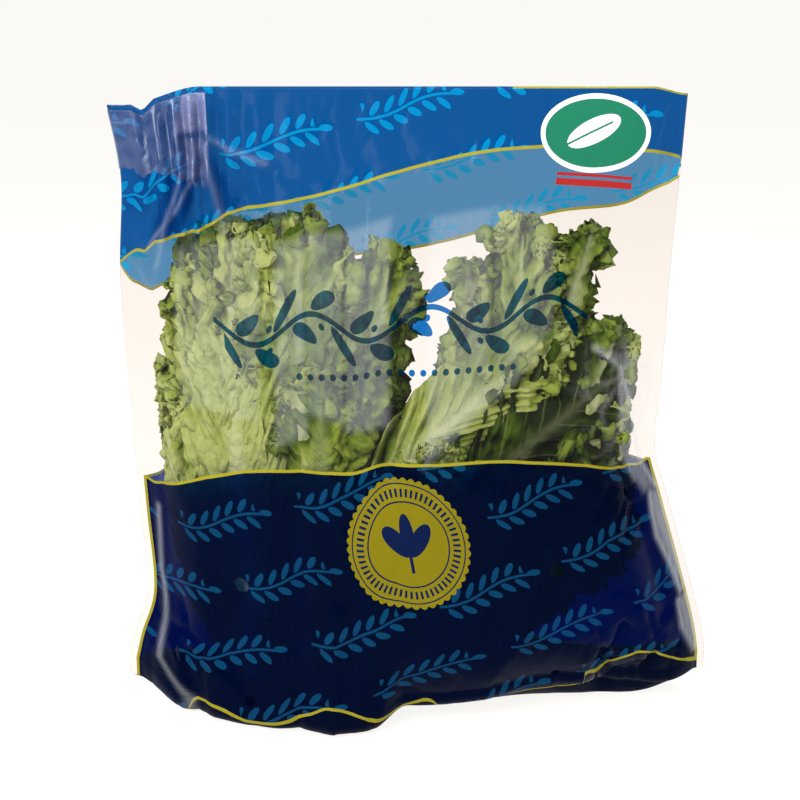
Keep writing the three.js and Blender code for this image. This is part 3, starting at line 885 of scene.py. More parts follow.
@dataclass
class FilmBag:
    """The web of film: folded at the base, welded at the sides and flat at the mouth."""

    form: BagForm
    relief: FilmRelief
    columns: int = 210
    base_rows: int = 12
    roll_rows: int = 8
    wall_rows: int = 198
    floor_clear: float = 0.3  # the base film over the floor, in mm
    up_under: float = -40.0  # height up the print at the base's fold
    whitened: float = 0.15  # how milky a net crease goes in clear film
    vent_cells: int = 3  # grid cells from a vent's middle to its rim
    vent_reach: float = 2.2  # how far the grid is drawn round a vent, in vents
    vents: tuple[VentHole, ...] = (
        VentHole(211.5, 69.4), VentHole(55, 69.9), VentHole(61.5, 14, 2.6), VentHole(205, 11, 2.2))

    def rows(self) -> int:
        """Rows from the base's fold to the mouth."""
        return self.base_rows + self.roll_rows + self.wall_rows

    def base_lift(self, across: Array, front: bool) -> tuple[Array, Array]:
        """Lift of a wall's foot over the floor, and the lift of the base's fold behind it."""
        form = self.form
        t = 2 * across - 1
        ear = np.where(t < 0, form.ear_left, form.ear_right)
        lift = ear * smooth(0.7, 1, np.abs(t)) ** 1.5
        if not front:
            return lift, lift
        low_x, _ = form.level_point(across, np.full_like(across, form.base_radius), front)
        return lift + form.tuck_rise * form.tuck(low_x) * (1 - smooth(0.7, 0.95, np.abs(t))), lift

    def point(self, across: Array, travel: Array, front: bool) -> tuple[Array, ...]:
        """Places on one wall.

        Args:
            across: 0 at the left seam and 1 at the right.
            travel: rows from the base's fold, as a real number.
            front: which wall.

        Returns:
            x, y, z and the height up the print, all in mm, then how white the creases went, how strong the
            painted glints and sheen are, and how far it lies folded on itself.
        """
        form, side = self.form, (-1 if front else 1)
        radius = form.base_radius
        wall_from = self.base_rows + self.roll_rows
        share = np.clip((travel - wall_from) / self.wall_rows, 0, 1)
        level = radius + (form.height - radius) * share
        lift_here, lift = self.base_lift(across, front)

        x, depth = form.level_point(across, level, front)
        room = smooth(0.0, 0.12, np.minimum(across, 1 - across) * 2) * (1 - smooth(0.93, 1.0, share))
        wrinkles, white = self.relief.at(x, level, front)
        height, sheen_and_whitening, folded = self.relief.marks(across * form.film_width, level)
        if front:
            wrinkles = wrinkles + height
        else:
            sheen_and_whitening, folded = np.zeros_like(sheen_and_whitening), np.zeros_like(folded)
        depth = np.maximum(form.film_gap, depth + room * wrinkles)
        z = level + lift_here * (1 - share) + (form.mouth(x) - form.height) * share
        y = depth

        low_x, low = form.level_point(across, np.full_like(across, radius), front)
        low_wrinkles, _ = self.relief.at(low_x, np.full_like(low_x, radius), front)
        low = np.maximum(form.film_gap, low + room * low_wrinkles)
        roll = np.minimum(radius, low / 2)
        angle = np.clip((travel - self.base_rows) / self.roll_rows, 0, 1) * math.pi / 2
        rolled = travel < wall_from
        x = np.where(rolled, low_x, x)
        y = np.where(rolled, low - roll + roll * np.sin(angle), y)
        z = np.where(rolled, lift_here + radius * (1 - np.cos(angle)), z)

        under = np.clip(travel / self.base_rows, 0, 1)
        left, right = form.seams(np.float64(0))
        flat = travel < self.base_rows
        x = np.where(flat, (left + (right - left) * across) * (1 - under) + low_x * under, x)
        y = np.where(flat, under * (low - roll), y)
        z = np.where(flat, lift + (lift_here - lift) * under**2, z)
        up = np.where(rolled, radius * angle / (math.pi / 2), level)
        up = np.where(flat, self.up_under * (1 - under), up)
        z = z + self.floor_clear * (1 - share)
        edge = np.minimum(across, 1 - across)
        y = np.where((edge < 1e-6) | (share > 1 - 1e-6), 0.0, y)
        return x, side * y, z, up, white * room, sheen_and_whitening, folded

    def punched(self, across: Array, travel: Array) -> tuple[Array, Array, Array]:
        """Draw the square rings of the grid round each vent into circles.

        Args:
            across: 0 at the left seam and 1 at the right.
            travel: rows from the base's fold.

        Returns:
            The moved places across and along, and 1 for each vertex in a vent or on its rim.
        """
        i, j = across * self.columns, travel.copy()
        cell = (self.form.film_width / self.columns,
                (self.form.height - self.form.base_radius) / self.wall_rows)
        inside = np.zeros_like(i)
        for vent in self.vents:
            mid_i = round(vent.u / cell[0])
            up = round((vent.level - self.form.base_radius) / cell[1])
            mid_j = self.base_rows + self.roll_rows + up
            a, b = (i - mid_i) / self.vent_cells, (j - mid_j) / self.vent_cells
            ring = np.maximum(np.abs(a), np.abs(b))
            round_off = ring / np.maximum(np.hypot(a, b), 1e-9)
            keep = smooth(1.0, self.vent_reach, ring)
            near = ring < self.vent_reach
            drawn = [round_off * vent.radius / side * (1 - keep) + self.vent_cells * keep for side in cell]
            i = np.where(near, mid_i + a * drawn[0], i)
            j = np.where(near, mid_j + b * drawn[1], j)
            inside = np.maximum(inside, np.where(ring < 1.01, 1.0, 0.0))
        return i / self.columns, j, inside

    def build(self) -> bpy.types.Object:
        """Make the film with its own map and the distances to the print's edges."""
        web, x0, y0 = Maker.grid("film_bag", self.columns, 2 * self.rows())
        across, travel = (x0 + 1) / 2, np.abs(y0) * self.rows()
        front = y0 >= 0
        across_front, travel_front, vented = self.punched(across, travel)
        across = np.where(front, across_front, across)
        travel = np.where(front, travel_front, travel)
        on_front = self.point(across, travel, True)
        on_back = self.point(across, travel, False)
        x, y, z, up, white, sheen_and_whitening, folded = (np.where(front, a, b) for a, b in zip(on_front, on_back))
        Maker.place(web, x, y, z)
        bare = self.map_film(web, across, up, front)
        # the pale veil: painted glints and sheen on the front, and the white of crushed net creases in the
        # window
        Maker.write(web, "sheen_and_whitening", np.maximum(sheen_and_whitening, self.whitened * white * bare))
        Maker.write(web, "folded", folded)
        self.cut_vents(web, vented * front)
        Maker.weld(web)
        return web

    def map_film(self, web: bpy.types.Object, across: Array, up: Array, front: Array) -> Array:
        """Write the film's own map in metres, and the distances to the print's edges in mm.

        Returns:
            1 for each vertex in the clear window, and 0 on the print.
        """
        u = across * self.form.film_width
        loops = np.empty(len(web.data.loops), dtype=np.int32)
        web.data.loops.foreach_get("vertex_index", loops)
        face_front = np.repeat(self.face_mean(web, np.where(front, 1.0, 0.0)) > 0.6, 4)
        spread = (u[loops] + np.where(face_front, 0.0, PrintedFilm.back_offset)) * MM
        layer = web.data.uv_layers[0]
        layer.name = "film"
        layer.data.foreach_set("uv", np.column_stack([spread, up[loops] * MM]).ravel())
        bare = np.ones_like(u)
        for name, edge, sign in (
                ("top_gap", "top", 1), ("low_gap", "low", -1), ("foot_gap", "foot", 1)):
            fore = BandEdges.height(getattr(FRONT_PRINT, edge), u)
            rear = BandEdges.height(getattr(BACK_PRINT, edge), u)
            gap = sign * (up - np.where(front, fore, rear))
            Maker.write(web, name, gap)
            if edge != "foot":
                bare = np.where(gap > 0, 0.0, bare)
        Maker.write(web, "side_gap", np.minimum(u, self.form.film_width - u))
        return bare

    @staticmethod
    def face_mean(web: bpy.types.Object, values: Array) -> Array:
        """Mean of a vertex value over each face of four corners."""
        corners = np.empty(len(web.data.polygons) * 4, dtype=np.int32)
        web.data.polygons.foreach_get("vertices", corners)
        return values[corners].reshape(-1, 4).mean(axis=1)

    def cut_vents(self, web: bpy.types.Object, vented: Array) -> None:
        """Take the film out of each vent."""
        inside = self.face_mean(web, vented) > 0.99
        Maker.only(web)
        bpy.ops.object.mode_set(mode="EDIT")
        bpy.ops.mesh.select_all(action="DESELECT")
        bpy.ops.mesh.select_mode(type="FACE")
        bpy.ops.object.mode_set(mode="OBJECT")
        web.data.polygons.foreach_set("select", inside)
        bpy.ops.object.mode_set(mode="EDIT")
        bpy.ops.mesh.delete(type="FACE")
        bpy.ops.object.mode_set(mode="OBJECT")


class TapeFilm:
    """Acrylic packing tape: clear, a little hazy and bluish over the ink, with trapped air."""

    def build(self) -> bpy.types.Material:
        """Mix clear tape with its haze, which gathers in a rubbed patch, and its gloss."""
        s = Shading("clear_acrylic_packing_tape")
        uv = s.add("ShaderNodeUVMap", uv_map="film")
        crinkle = s.add("ShaderNodeTexNoise", {"Vector": uv, "Scale": 1 / 0.005, "Detail": 3.0},
                        out="Fac")
        grit = s.add("ShaderNodeTexNoise", {"Vector": uv, "Scale": 1 / 0.0011, "Detail": 2.0},
                     out="Fac")
        bump = s.add("ShaderNodeBump", {"Height": ("ADD", crinkle, ("MULTIPLY", grit, 0.2)),
                                        "Strength": 0.6, "Distance": 0.0009})
        rubbed = s.add("ShaderNodeAttribute", attribute_name="rubbed", out="Fac")
        patchy = s.add("ShaderNodeMapRange", {"Value": crinkle, "From Min": 0.35, "From Max": 0.7,
                                              "To Min": 0.02, "To Max": 0.12})
        scuffs = ("MULTIPLY", rubbed, ("ADD", 0.2, ("MULTIPLY", grit, 0.5)))
        haze = s.add("MINIMUM", ("ADD", patchy, scuffs), 0.7)
        clear = s.add("ShaderNodeBsdfTransparent", {"Color": linear("#eef2f6")})
        milky = s.add("ShaderNodeBsdfPrincipled", {"Base Color": linear("#868cb8"), "Roughness": 0.5,
                                                   "Specular IOR Level": 0.2, "Normal": bump})
        strip = s.add("ShaderNodeMixShader", haze, clear, milky)
        facing = s.add("ShaderNodeLayerWeight", {"Blend": 0.5, "Normal": bump}, out="Facing")
        shine = s.add("ADD", 0.025, ("MULTIPLY", ("POWER", facing, 4.0), 0.3))
        gloss = s.add("ShaderNodeBsdfGlossy", {"Color": (1, 1, 1, 1), "Roughness": 0.2, "Normal": bump})
        return s.surface(s.add("ShaderNodeMixShader", shine, strip, gloss))


@dataclass
class ClosingTape:
    """The strip of tape: from the front, round the left seam, to the back."""

    film: FilmBag
    on_front: float = 50.0  # film mm from the seam to the front end
    on_back: float = 41.0
    top_drop: float = 2.5  # mm under the mouth
    tall: float = 41.0
    tall_at_seam: float = 27.0
    lift: float = 0.9  # over the film, so that it clears every pleat
    thickness: float = 0.12
    columns: int = 90
    rows: int = 56

    def build(self) -> bpy.types.Object:
        """Lay the strip over the film's own shape."""
        strip, x0, y0 = Maker.grid("tape_strip", self.columns, self.rows)
        film = self.film
        per_row = (film.form.height - film.form.base_radius) / film.wall_rows
        route = (1 - x0) / 2 * (self.on_front + self.on_back)  # 0 at the front end
        front = route < self.on_front
        u = np.abs(self.on_front - route)
        reach = np.where(front, self.on_front, self.on_back)
        tall = self.tall_at_seam + (self.tall - self.tall_at_seam) * smooth(0, 1, u / reach)
        ragged = 0.5 * np.sin(u * 1.9) + 0.3 * np.sin(u * 4.1 + 1)
        drop = self.top_drop + (1 - y0) / 2 * (tall + ragged)
        travel = film.rows() - drop / per_row
        across = u / film.form.film_width
        fore = film.point(np.maximum(across, 1e-4), travel, True)
        rear = film.point(np.maximum(across, 1e-4), travel, False)
        x, y, z = (np.where(front, a, b) for a, b in zip(fore[:3], rear[:3]))
        wrap = 1 - smooth(0, 3.0, u)
        side = np.where(front, -1.0, 1.0)
        y = y + side * self.lift * np.sin(np.clip(u / 2.0, 0, 1) * math.pi / 2)
        x = x - self.lift * wrap
        Maker.place(strip, x, y, z)
        layer = strip.data.uv_layers[0]
        layer.name = "film"
        loops = np.empty(len(strip.data.loops), dtype=np.int32)
        strip.data.loops.foreach_get("vertex_index", loops)
        layer.data.foreach_set("uv", (np.column_stack([route, drop])[loops] * MM).ravel())
        corner = smooth(0, 3, u - 27 + 0.5 * (drop - 14)) * (1 - smooth(17, 20, drop))
        patch = 0.5 * smooth(31, 36, u) * smooth(21, 25, drop) * (1 - smooth(37, 40, drop))
        Maker.write(strip, "rubbed", np.maximum(corner, patch) * np.where(front, 1, 0.4))
        Maker.thicken(strip, self.thickness)
        return strip


class LeafBlade:
    """Fresh leaf lettuce: waxy skin over pale ribs, deeper green and thinner at the frills."""

    def build(self) -> bpy.types.Material:
        """Colour by rib, margin and each leaf's own tone, which is partly painted shade, with painted
        shade in the hollows, painted light on the ridges, and a soft waxy sheen.
        """
        s = Shading("fresh_leaf_lettuce")
        rib, edge, tone, vein, painted_relief_light = (
            s.add("ShaderNodeAttribute", attribute_name=name, out="Fac")
            for name in ("rib", "margin", "tone", "vein", "painted_relief_light"))
        place = s.add("ShaderNodeTexCoord", out="Object")
        mottle = s.add("ShaderNodeTexNoise", {"Vector": place, "Scale": 1 / 0.012, "Detail": 2.0},
                       out="Fac")
        fine = s.add("ShaderNodeTexNoise", {"Vector": place, "Scale": 1 / 0.0024, "Detail": 1.0},
                     out="Fac")
        sheet = s.add("ShaderNodeMapping", {
            "Vector": s.add("ShaderNodeUVMap", uv_map="UVMap"), "Scale": (230.0, 5.0, 1.0)})
        fibre = s.add("ShaderNodeTexNoise", {"Vector": sheet, "Scale": 1.0, "Detail": 2.0}, out="Fac")
        # each leaf's tone, partly real and partly painted shade for leaves that lie deep in the bag, with
        # a real mottle over it
        leaf_tone_and_shade = s.add("ADD", ("MULTIPLY", tone, 0.62), ("MULTIPLY", ("SUBTRACT", mottle, 0.5), 0.5))
        # painted shade and light: the leaf's hollows are coloured darker and its ridges paler
        painted_hollow_shade = s.add("MULTIPLY", ("SUBTRACT", 0.5, painted_relief_light), 0.4)
        streak = s.add("MULTIPLY", ("SUBTRACT", fibre, 0.5), 0.28)
        shade = s.add("ADD", ("ADD", ("ADD", leaf_tone_and_shade, streak), painted_hollow_shade), ("MULTIPLY", edge, 0.08))
        ramp = s.add("ShaderNodeValToRGB", {"Fac": shade})
        stops = ramp.node.color_ramp
        stops.elements[0].position, stops.elements[0].color = 0.0, linear("#b9c678")
        stops.elements[1].position, stops.elements[1].color = 1.0, linear("#142401")
        for position, colour in ((0.3, "#92a640"), (0.62, "#4e6a10")):
            stops.elements.new(position).color = linear(colour)
        veined = s.add("ShaderNodeMix", {
            "Factor": ("MULTIPLY", vein, 0.2), 6: ramp, 7: linear("#aabb62")}, out=2, data_type="RGBA")
        ribbed = s.add("ShaderNodeMix", {"Factor": rib, 6: veined, 7: linear("#d0d9a8")},
                       out=2, data_type="RGBA")
        cells = s.add("ShaderNodeTexVoronoi", {"Vector": place, "Scale": 1 / 0.0045},
                      out="Distance", feature="F1")
        blisters = ("SUBTRACT", ("MULTIPLY", fine, 0.5), ("MULTIPLY", cells, 1.1))
        height = s.add("ADD", blisters, ("MULTIPLY", fibre, 0.45))
        bump = s.add("ShaderNodeBump", {"Height": height, "Strength": 0.8, "Distance": 0.0014})
        skin = s.add("ShaderNodeBsdfPrincipled", {
            "Base Color": ribbed, "Roughness": 0.5, "IOR": 1.42, "Specular IOR Level": 0.12,
            "Normal": bump})
        glow = s.add("ShaderNodeBsdfTranslucent", {"Color": ribbed, "Normal": bump})
        return s.surface(s.add("ShaderNodeMixShader", 0.24, skin, glow))


class LeafMesh(Enum):
    """Columns along a leaf's margin and rows out to it."""

    FINE = (480, 24)
    SMALL = (280, 16)
    HIDDEN = (320, 18)


@dataclass(frozen=True)
class LeafPlan:
    """One leaf: where its foot and tip are, and how it bows, turns and curls, in mm and degrees."""

    foot: Triple
    tip: Triple
    width: float
    bow: float
    turn: float
    tone: float
    seed: int
    twist: float = 0.0
    cup: float = -9.0
    flop: float = 12.0
    frill: float = 1.0
    frilled: float = 0.5  # how far the frills run down the margin, from the tip (0) to the foot (1)
    pleat: float = 1.0  # how deep its lengthwise folds are
    sway: float = 0.0  # how far it curves to the left as it grows
    ribbed: float = 1.0  # how pale its midrib is
    mesh: LeafMesh = LeafMesh.FINE


@dataclass(frozen=True)
class Ruffle:
    """One order of ruffles along a leaf's margin; each finer one lives nearer to the edge."""

    wave: float  # mm along the margin
    height: float  # mm out of the blade
    roll: float  # how far it slides along the margin, as a share of the height
    start: float  # where it sets in, from the midrib (0) to the margin (1)


@dataclass
class LettuceLeaf:
    """A frilly leaf: veins fan out from a midrib to a margin that is longer than its blade."""

    plan: LeafPlan
    form: BagForm
    petiole: float = 7.0
    blade: float = 0.55  # thickness in mm
    vein_pitch: int = 13  # grid columns from one side vein to the next
    heights: Pair = (12.0, 268.0)  # the room for leaves, up the bag
    first_spare: float = 12.0  # room left for the relief when the plain blade is pressed
    last_spare: float = 3.0  # from the film to the finished leaf
    ruffles: tuple[Ruffle, ...] = (
        Ruffle(18.0, 3.4, 0.5, 0.35), Ruffle(7.6, 2.5, 0.8, 0.55), Ruffle(3.8, 1.2, 0.8, 0.72))
    # folds that run with the veins, and crinkles between them: wavelength and height
    folds: tuple[Pair, ...] = ((24.0, 3.6), (9.5, 1.4), (4.4, 0.5))
    crinkles: tuple[Pair, ...] = ((22.0, 2.2), (9.0, 1.3), (5.0, 0.7))

    def outline(self, q: Array) -> tuple[Array, Array]:
        """Half width and place along the leaf of its margin, from the tip (0) to the foot (1)."""
        half = self.plan.width / 2
        along = 0.5 + 0.5 * np.cos(np.pi * q**1.22)
        wide = half * np.sin(np.pi * np.clip(q, 0, 1) ** 0.93) ** 0.9
        foot = self.petiole * smooth(0.45, 0.85, q)
        return np.maximum(wide * (1 - 0.3 * smooth(0.6, 0.9, q)), foot) + 0.4, along

    def spine(self, s: Array) -> tuple[Array, Array, Array, Array]:
        """Points of the midrib, with its directions along, across and outwards."""
        plan = self.plan
        foot, tip = np.array(plan.foot), np.array(plan.tip)
        turn = math.radians(plan.turn)
        out = np.array([math.sin(turn), -math.cos(turn), 0.0])
        sideways = np.cross(tip - foot, out) / np.linalg.norm(tip - foot)
        middle = (foot + tip) / 2 + out * plan.bow - sideways * plan.sway
        t = s[..., None]
        point = (1 - t) ** 2 * foot + 2 * t * (1 - t) * middle + t * t * tip
        along = 2 * (1 - t) * (middle - foot) + 2 * t * (tip - middle)
        along /= np.linalg.norm(along, axis=-1, keepdims=True)
        across = np.cross(along, out)
        across /= np.linalg.norm(across, axis=-1, keepdims=True)
        outward = np.cross(across, along)
        swing = np.radians(plan.twist) * (s - 0.4)
        cos, sin = np.cos(swing)[..., None], np.sin(swing)[..., None]
        return point, along, across * cos + outward * sin, outward * cos - across * sin

    @staticmethod
    def directions(places: Array) -> tuple[Array, Array, Array]:
        """Unit directions along the margin, towards it and out of the blade, at each grid point."""
        along, towards = np.gradient(places, axis=1), np.gradient(places, axis=0)
        out = np.cross(along, towards)
        return tuple(v / np.maximum(np.linalg.norm(v, axis=-1, keepdims=True), 1e-9)
                     for v in (along, towards, out))

    def build(self) -> bpy.types.Object:
        """Make the leaf, press it inside the bag and give it its thickness."""
        plan = self.plan
        draw = np.random.default_rng(plan.seed)
        columns, rows = plan.mesh.value
        leaf, flat_m, flat_y = Maker.grid(f"leaf_{plan.seed}", columns, rows)
        m, y0 = flat_m.reshape(rows + 1, columns + 1), flat_y.reshape(rows + 1, columns + 1)
        q, side = np.abs(m) ** 1.4, np.where(m < 0, -1.0, 1.0)
        r = ((y0 + 1) / 2) ** 0.8
        length = float(np.linalg.norm(np.array(plan.tip) - np.array(plan.foot)))

        steps = np.linspace(0, 1, 900)
        wide_line, along_line = self.outline(steps)
        step_len = np.hypot(np.gradient(wide_line), np.gradient(along_line) * length)
        run = np.interp(q, steps, np.cumsum(step_len)) * side
        wide, end = self.outline(q)
        half = plan.width / 2
        start = np.clip(np.minimum(end * 0.95, end - 0.3 * wide / half), 0, 1)
        s = start + (end - start) * r
        over, up = side * wide * r, s * length

        phase = draw.uniform(0, 2 * math.pi, 8)
        slow = Noise(plan.seed, 40, 9).at(up, over)
        folds = np.zeros_like(r)
        for k, (wave, height) in enumerate(self.folds):
            lengthwise = Noise(plan.seed + 100 * k + 30, wave, 9).at(run + 2.5 * slow, 9 * r)
            folds += plan.pleat * height * (0.5 - np.abs(lengthwise)) * smooth(0.0, 0.45, r)
        flop = plan.flop * smooth(0.6, 1.0, s + 0.05 * slow) ** 1.6
        rib_width = 1.5 + 4.2 * (1 - s) ** 1.3
        rib = np.exp(-((over / rib_width) ** 2)) * (1 - 0.75 * s)
        lift = plan.cup * (over / half) ** 2 + flop + 2.6 * rib * (1 - s)
        point, along, across, outward = self.spine(np.clip(s, 0, 1))
        places = (point + across * over[..., None] - along * 0.5 * flop[..., None]
                  + outward * lift[..., None])
        places = self.pressed(places, self.first_spare)

        _, _, out = self.directions(places)
        keep = (1 - smooth(plan.frilled - 0.14, plan.frilled + 0.14, q)) * plan.frill
        relief = np.zeros_like(r)
        for k, (wave, height) in enumerate(self.crinkles):
            relief += height * Noise(plan.seed + 100 * k + 50, wave, 11).at(up, over)
        relief *= smooth(0.0, 0.3, r) * (0.3 + 0.7 * keep)
        places = places + out * (relief + folds)[..., None]
        for k, ruffle in enumerate(self.ruffles):
            along, towards, out = self.directions(places)
            wander = Noise(plan.seed + 100 * k + 70, 2.2 * ruffle.wave, 9).at(up, over)
            uneven = 1 + 0.5 * Noise(plan.seed + 100 * k + 90, 1.6 * ruffle.wave, 7).at(run, r * 20)
            turn = run * 2 * math.pi / ruffle.wave + 2.3 * wander + phase[k + 1]
            height = (ruffle.height * smooth(ruffle.start, 1.0, r) ** 1.4 * keep * uneven)[..., None]
            places = places + height * (
                out * np.sin(turn)[..., None] + along * (ruffle.roll * np.cos(turn))[..., None]
                - towards * (0.4 * (1 - np.cos(turn + 0.6)))[..., None])
        lobes = (0.8 * Noise(plan.seed + 400, 7.0, 9).at(run, r * 3)
                 + Noise(plan.seed + 401, 2.8, 9).at(run, r * 3))
        _, towards, _ = self.directions(places)
        places = places + towards * (1.1 * lobes * smooth(0.78, 1.0, r) * keep)[..., None]
        places = self.pressed(places, self.last_spare)

        Maker.place(leaf, *(places[..., k].ravel() for k in range(3)))
        column = np.round((m + 1) / 2 * columns).astype(int)
        vein = np.where(column % self.vein_pitch == 0, 1.0, 0.0)
        vein = vein * (1 - smooth(0.6, 0.95, r)) * smooth(0, 0.1, r)
        # painted light and shade: a tone over 0.7 is partly painted shade, and the frills of such dark
        # leaves are painted paler, as if they reached into the light
        painted_lit_frill = smooth(0.72, 1.0, r) * keep * max(0.0, plan.tone - 0.7)
        tone = plan.tone * (0.55 + 0.45 * smooth(0.1, 0.7, s)) - 0.9 * painted_lit_frill
        # painted light and shade: the relief mark is above 0.5 where crinkles and folds rise, and below it
        # in their hollows
        marks = {"rib": np.clip(rib * 1.25, 0, 1) * plan.ribbed, "margin": r * keep, "tone": tone,
                 "vein": vein, "painted_relief_light": 0.5 + 0.16 * relief + 0.14 * folds}
        for name, values in marks.items():
            Maker.write(leaf, name, values.ravel())
        Maker.weld(leaf, 2e-6)
        Maker.thicken(leaf, self.blade)
        return leaf

    def pressed(self, places: Array, spare: float) -> Array:
        """Hold the leaf inside the film: it flattens against a wall and stops short of a seam."""
        x, y, z = np.moveaxis(places, -1, 0)
        z = np.clip(z, *self.heights)
        left, right = self.form.seams(z)
        middle, room = (left + right) / 2, (right - left) / 2 - 6 - spare / 2
        reach = (x - middle) / room
        past = 0.85 + 0.15 * np.tanh((np.abs(reach) - 0.85) / 0.15)
        x = middle + room * np.where(np.abs(reach) < 0.85, reach, np.sign(reach) * past)
        fore = np.maximum(1.2, self.form.inside(x, z, True) - spare)
        rear = np.maximum(1.2, self.form.inside(x, z, False) - spare)
        limit = np.where(y < 0, fore, rear)
        share = np.abs(y) / limit
        held = np.where(share < 0.8, share, 0.8 + 0.2 * np.tanh((share - 0.8) / 0.2))
        return np.stack([x, np.sign(y) * limit * held, z], axis=-1)


@dataclass
class LettuceHeads:
    """Two loose heads, side by side, each leaf with its own lean and tone; the darkest tones are painted
    shade, for leaves deep in the bag.
    """

    form: BagForm
    left_front: tuple[LeafPlan, ...] = (
        LeafPlan((-84, -14, 20), (-97, -14, 214), 46, 12, -12, 0.3, 101, 10, frilled=0.55),
        LeafPlan((-76, -24, 20), (-84, -22, 234), 54, 14, -4, 0.15, 102, -12, frilled=0.36),
        LeafPlan((-54, -22, 20), (-52, -16, 240), 60, 12, 4, 0.5, 103, 16, flop=16, frilled=0.45),
        LeafPlan((-46, -14, 22), (-14, -10, 224), 46, 12, 12, 0.5, 104, -10, frilled=0.55),
    )
    left_middle: tuple[LeafPlan, ...] = (
        LeafPlan((-38, -32, 86), (-40, -38, 172), 44, 8, 6, 0.8, 105, 14, frilled=0.6, sway=8,
                 ribbed=0.3),
        LeafPlan((-88, -6, 24), (-128, -5, 168), 46, 8, -26, 0.1, 106, -14, frilled=0.5),
        LeafPlan((-74, -36, 50), (-86, -34, 188), 32, 10, -8, 0.0, 107, 20, 8, pleat=0.5, frilled=0.25),
        LeafPlan((-24, -26, 24), (-24, -24, 178), 40, 8, 10, 0.95, 108, -8, frilled=0.5, ribbed=0.5),
    )
    left_rest: tuple[LeafPlan, ...] = (
        # painted shade: leaf 111 is toned dark to stand for the shaded recess in the left head
        LeafPlan((-66, -4, 20), (-68, 0, 236), 70, 6, 0, 1.3, 111, 6, ribbed=0.2, mesh=LeafMesh.HIDDEN),
        LeafPlan((-62, 10, 20), (-46, 10, 226), 66, -8, 176, 0.6, 112, -10, mesh=LeafMesh.HIDDEN),
        LeafPlan((-72, 16, 20), (-80, 18, 218), 66, -14, 184, 0.45, 113, 12, mesh=LeafMesh.HIDDEN),
    )
    right_front: tuple[LeafPlan, ...] = (
        LeafPlan((34, -8, 30), (48, -10, 236), 44, 8, 6, 0.35, 121, 14, flop=8, frilled=0.6),
        LeafPlan((-30, -28, 92), (74, -26, 182), 42, 12, 10, 0.28, 122, -10, -8, frilled=0.3, sway=20),
        # painted shade: leaves 123 and 125 are toned dark to stand for the shade at the lower right of the
        # right head
        LeafPlan((-4, -30, 84), (102, -22, 168), 68, 8, 14, 1.7, 123, 10, flop=8, frill=0.7,
                 frilled=0.8, sway=8, ribbed=0.2),
        LeafPlan((38, -28, 44), (107, -18, 136), 64, 8, 16, 1.65, 125, 8, frilled=0.8, ribbed=0.2),
    )
    right_middle: tuple[LeafPlan, ...] = (
        LeafPlan((26, -14, 22), (26, -14, 190), 38, 10, -8, 0.35, 124, -10, frilled=0.6),
        LeafPlan((4, -34, 20), (12, -38, 138), 58, 8, -4, 0.3, 126, -8, frilled=0.4, ribbed=0.5),
        LeafPlan((56, -6, 150), (79, -6, 232), 26, 4, 10, 0.9, 127, 8, frilled=0.95,
                 mesh=LeafMesh.SMALL),
        LeafPlan((36, -6, 160), (20, -6, 218), 22, 4, -10, 0.4, 128, 8, frilled=0.95,
                 mesh=LeafMesh.SMALL),
    )
    right_side: tuple[LeafPlan, ...] = (
        LeafPlan((70, -12, 110), (90, -9, 190), 34, 6, 20, 0.95, 129, 8, frilled=0.9,
                 mesh=LeafMesh.SMALL),
        LeafPlan((96, -5, 110), (107, -3, 178), 20, 3, 30, 0.3, 130, 8, frilled=0.9,
                 mesh=LeafMesh.SMALL),
    )
    right_rest: tuple[LeafPlan, ...] = (
        LeafPlan((40, 2, 20), (40, 2, 208), 58, 6, 0, 0.8, 131, 8, frilled=0.6, mesh=LeafMesh.HIDDEN),
        LeafPlan((48, 8, 20), (72, 6, 190), 50, 8, 12, 0.9, 132, -8, frilled=0.6, mesh=LeafMesh.HIDDEN),
        LeafPlan((36, 16, 20), (36, 16, 190), 56, -14, 176, 0.5, 133, 10, mesh=LeafMesh.HIDDEN),
        LeafPlan((46, 18, 20), (58, 18, 216), 58, -16, 186, 0.6, 134, -10, mesh=LeafMesh.HIDDEN),
    )

    def build(self) -> list[bpy.types.Object]:
        """Make each bunch of leaves as one piece."""
        bunches = []
        for bunch_field in fields(self)[1:]:
            leaves = [LettuceLeaf(plan, self.form).build() for plan in getattr(self, bunch_field.name)]
            bpy.ops.object.select_all(action="DESELECT")
            for leaf in leaves:
                leaf.select_set(True)
            bpy.context.view_layer.objects.active = leaves[0]
            bpy.ops.object.join()
            bunch = bpy.context.object
            bunch.name = f"lettuce_{bunch_field.name}"
            bunch.data.name = bunch.name
            bunches.append(bunch)
        return bunches


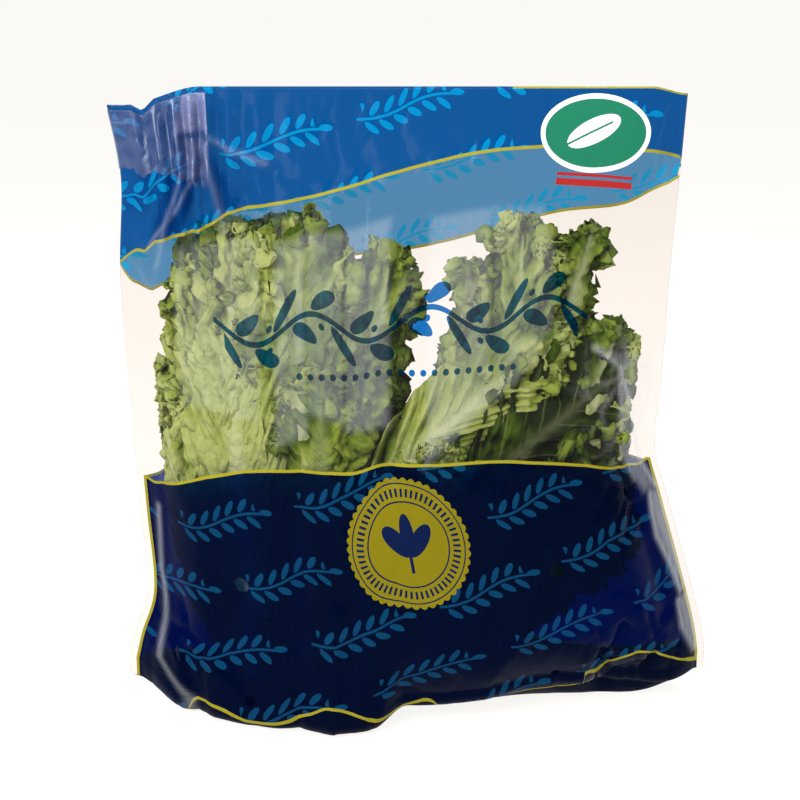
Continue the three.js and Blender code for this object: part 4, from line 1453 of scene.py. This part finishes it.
@dataclass
class Studio:
    """A plain pale floor, soft light and the camera at the photograph's angle."""

    distance: float = 800.0
    mm_a_pixel: float = 0.46
    image: int = 800
    elevation: float = 15.0
    aim: Triple = (-7.5, 0.0, 145.5)  # the place in the middle of the picture
    lit: Triple = (0.0, 0.0, 0.14)  # what the lights point at, in metres
    sensor: float = 36.0
    air: float = 0.3
    table_glow: float = 0.9
    bounces: int = 6
    soft_bounces: int = 2  # as many as show among leaves behind film

    def camera(self) -> None:
        """Look at the bag's middle from in front and a little above."""
        lens = self.sensor * self.distance / (self.mm_a_pixel * self.image)
        rise = math.radians(self.elevation)
        aim = Vector(self.aim) * MM + Maker.shift
        back = Vector((0, -math.cos(rise), math.sin(rise))) * self.distance * MM
        data = bpy.data.cameras.new("camera")
        data.lens, data.sensor_width, data.clip_start = lens, self.sensor, 0.01
        camera = bpy.data.objects.new("camera", data)
        bpy.context.collection.objects.link(camera)
        camera.location = aim + back
        camera.rotation_euler = (-back).to_track_quat("-Z", "Y").to_euler()
        bpy.context.scene.camera = camera

    def softbox(self, name: str, place: Triple, size: Pair, watts: float) -> None:
        """Hang one rectangular soft light that points at the bag."""
        data = bpy.data.lights.new(name, "AREA")
        data.shape, data.size, data.size_y, data.energy = "RECTANGLE", size[0], size[1], watts
        lamp = bpy.data.objects.new(name, data)
        bpy.context.collection.objects.link(lamp)
        lamp.location = place
        lamp.rotation_euler = (Vector(self.lit) - Vector(place)).to_track_quat("-Z", "Y").to_euler()

    def floor(self) -> None:
        """A pale floor that runs on behind the bag, lit a little from beneath."""
        bpy.ops.object.select_all(action="DESELECT")
        bpy.ops.mesh.primitive_plane_add(size=30, location=(0, 0, 0))
        floor = bpy.context.object
        floor.name = "floor"
        s = Shading("lit_white_acrylic")
        matt = s.add("ShaderNodeBsdfDiffuse", {"Color": linear("#7c7c7b")})
        glow = s.add("ShaderNodeEmission", {"Color": linear("#fffdfa"), "Strength": self.table_glow})
        floor.data.materials.append(s.surface(s.add("ShaderNodeAddShader", matt, glow)))

    def build(self) -> None:
        """Set the stage."""
        self.camera()
        self.floor()
        self.softbox("key_softbox", (-0.62, -1.0, 1.0), (0.8, 0.9), 21.0)
        self.softbox("fill_softbox", (1.1, -0.6, 0.7), (0.3, 0.9), 4.0)
        self.softbox("top_softbox", (-0.1, 0.25, 1.3), (1.0, 0.7), 12.0)
        world = bpy.data.worlds.new("studio")
        world.use_nodes = True
        sky = world.node_tree.nodes["Background"]
        sky.inputs["Color"].default_value = (1, 1, 1, 1)
        sky.inputs["Strength"].default_value = self.air
        scene = bpy.context.scene
        scene.world = world
        scene.cycles.max_bounces = self.bounces
        scene.cycles.diffuse_bounces = self.soft_bounces
        scene.view_settings.view_transform = "Standard"


def main() -> None:
    """Build the bag, what it holds, its tape and the studio."""
    logging.basicConfig(level=logging.INFO, format="%(name)s: %(message)s")
    form = BagForm()
    film = FilmBag(form, FilmRelief())
    low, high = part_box("bag")
    Maker.shift = Vector(((low[0] + high[0]) / 2, (low[1] + high[1]) / 2 + form.seams_behind * MM, 0))
    Maker.hand_over(film.build(), PrintedFilm().build(), "bag")
    leaf_skin = LeafBlade().build()
    for bunch in LettuceHeads(form).build():
        Maker.hand_over(bunch, leaf_skin, "bag")
    Maker.hand_over(ClosingTape(film).build(), TapeFilm().build(), "closing_tape")
    Studio().build()


if __name__ == "__main__":
    main()
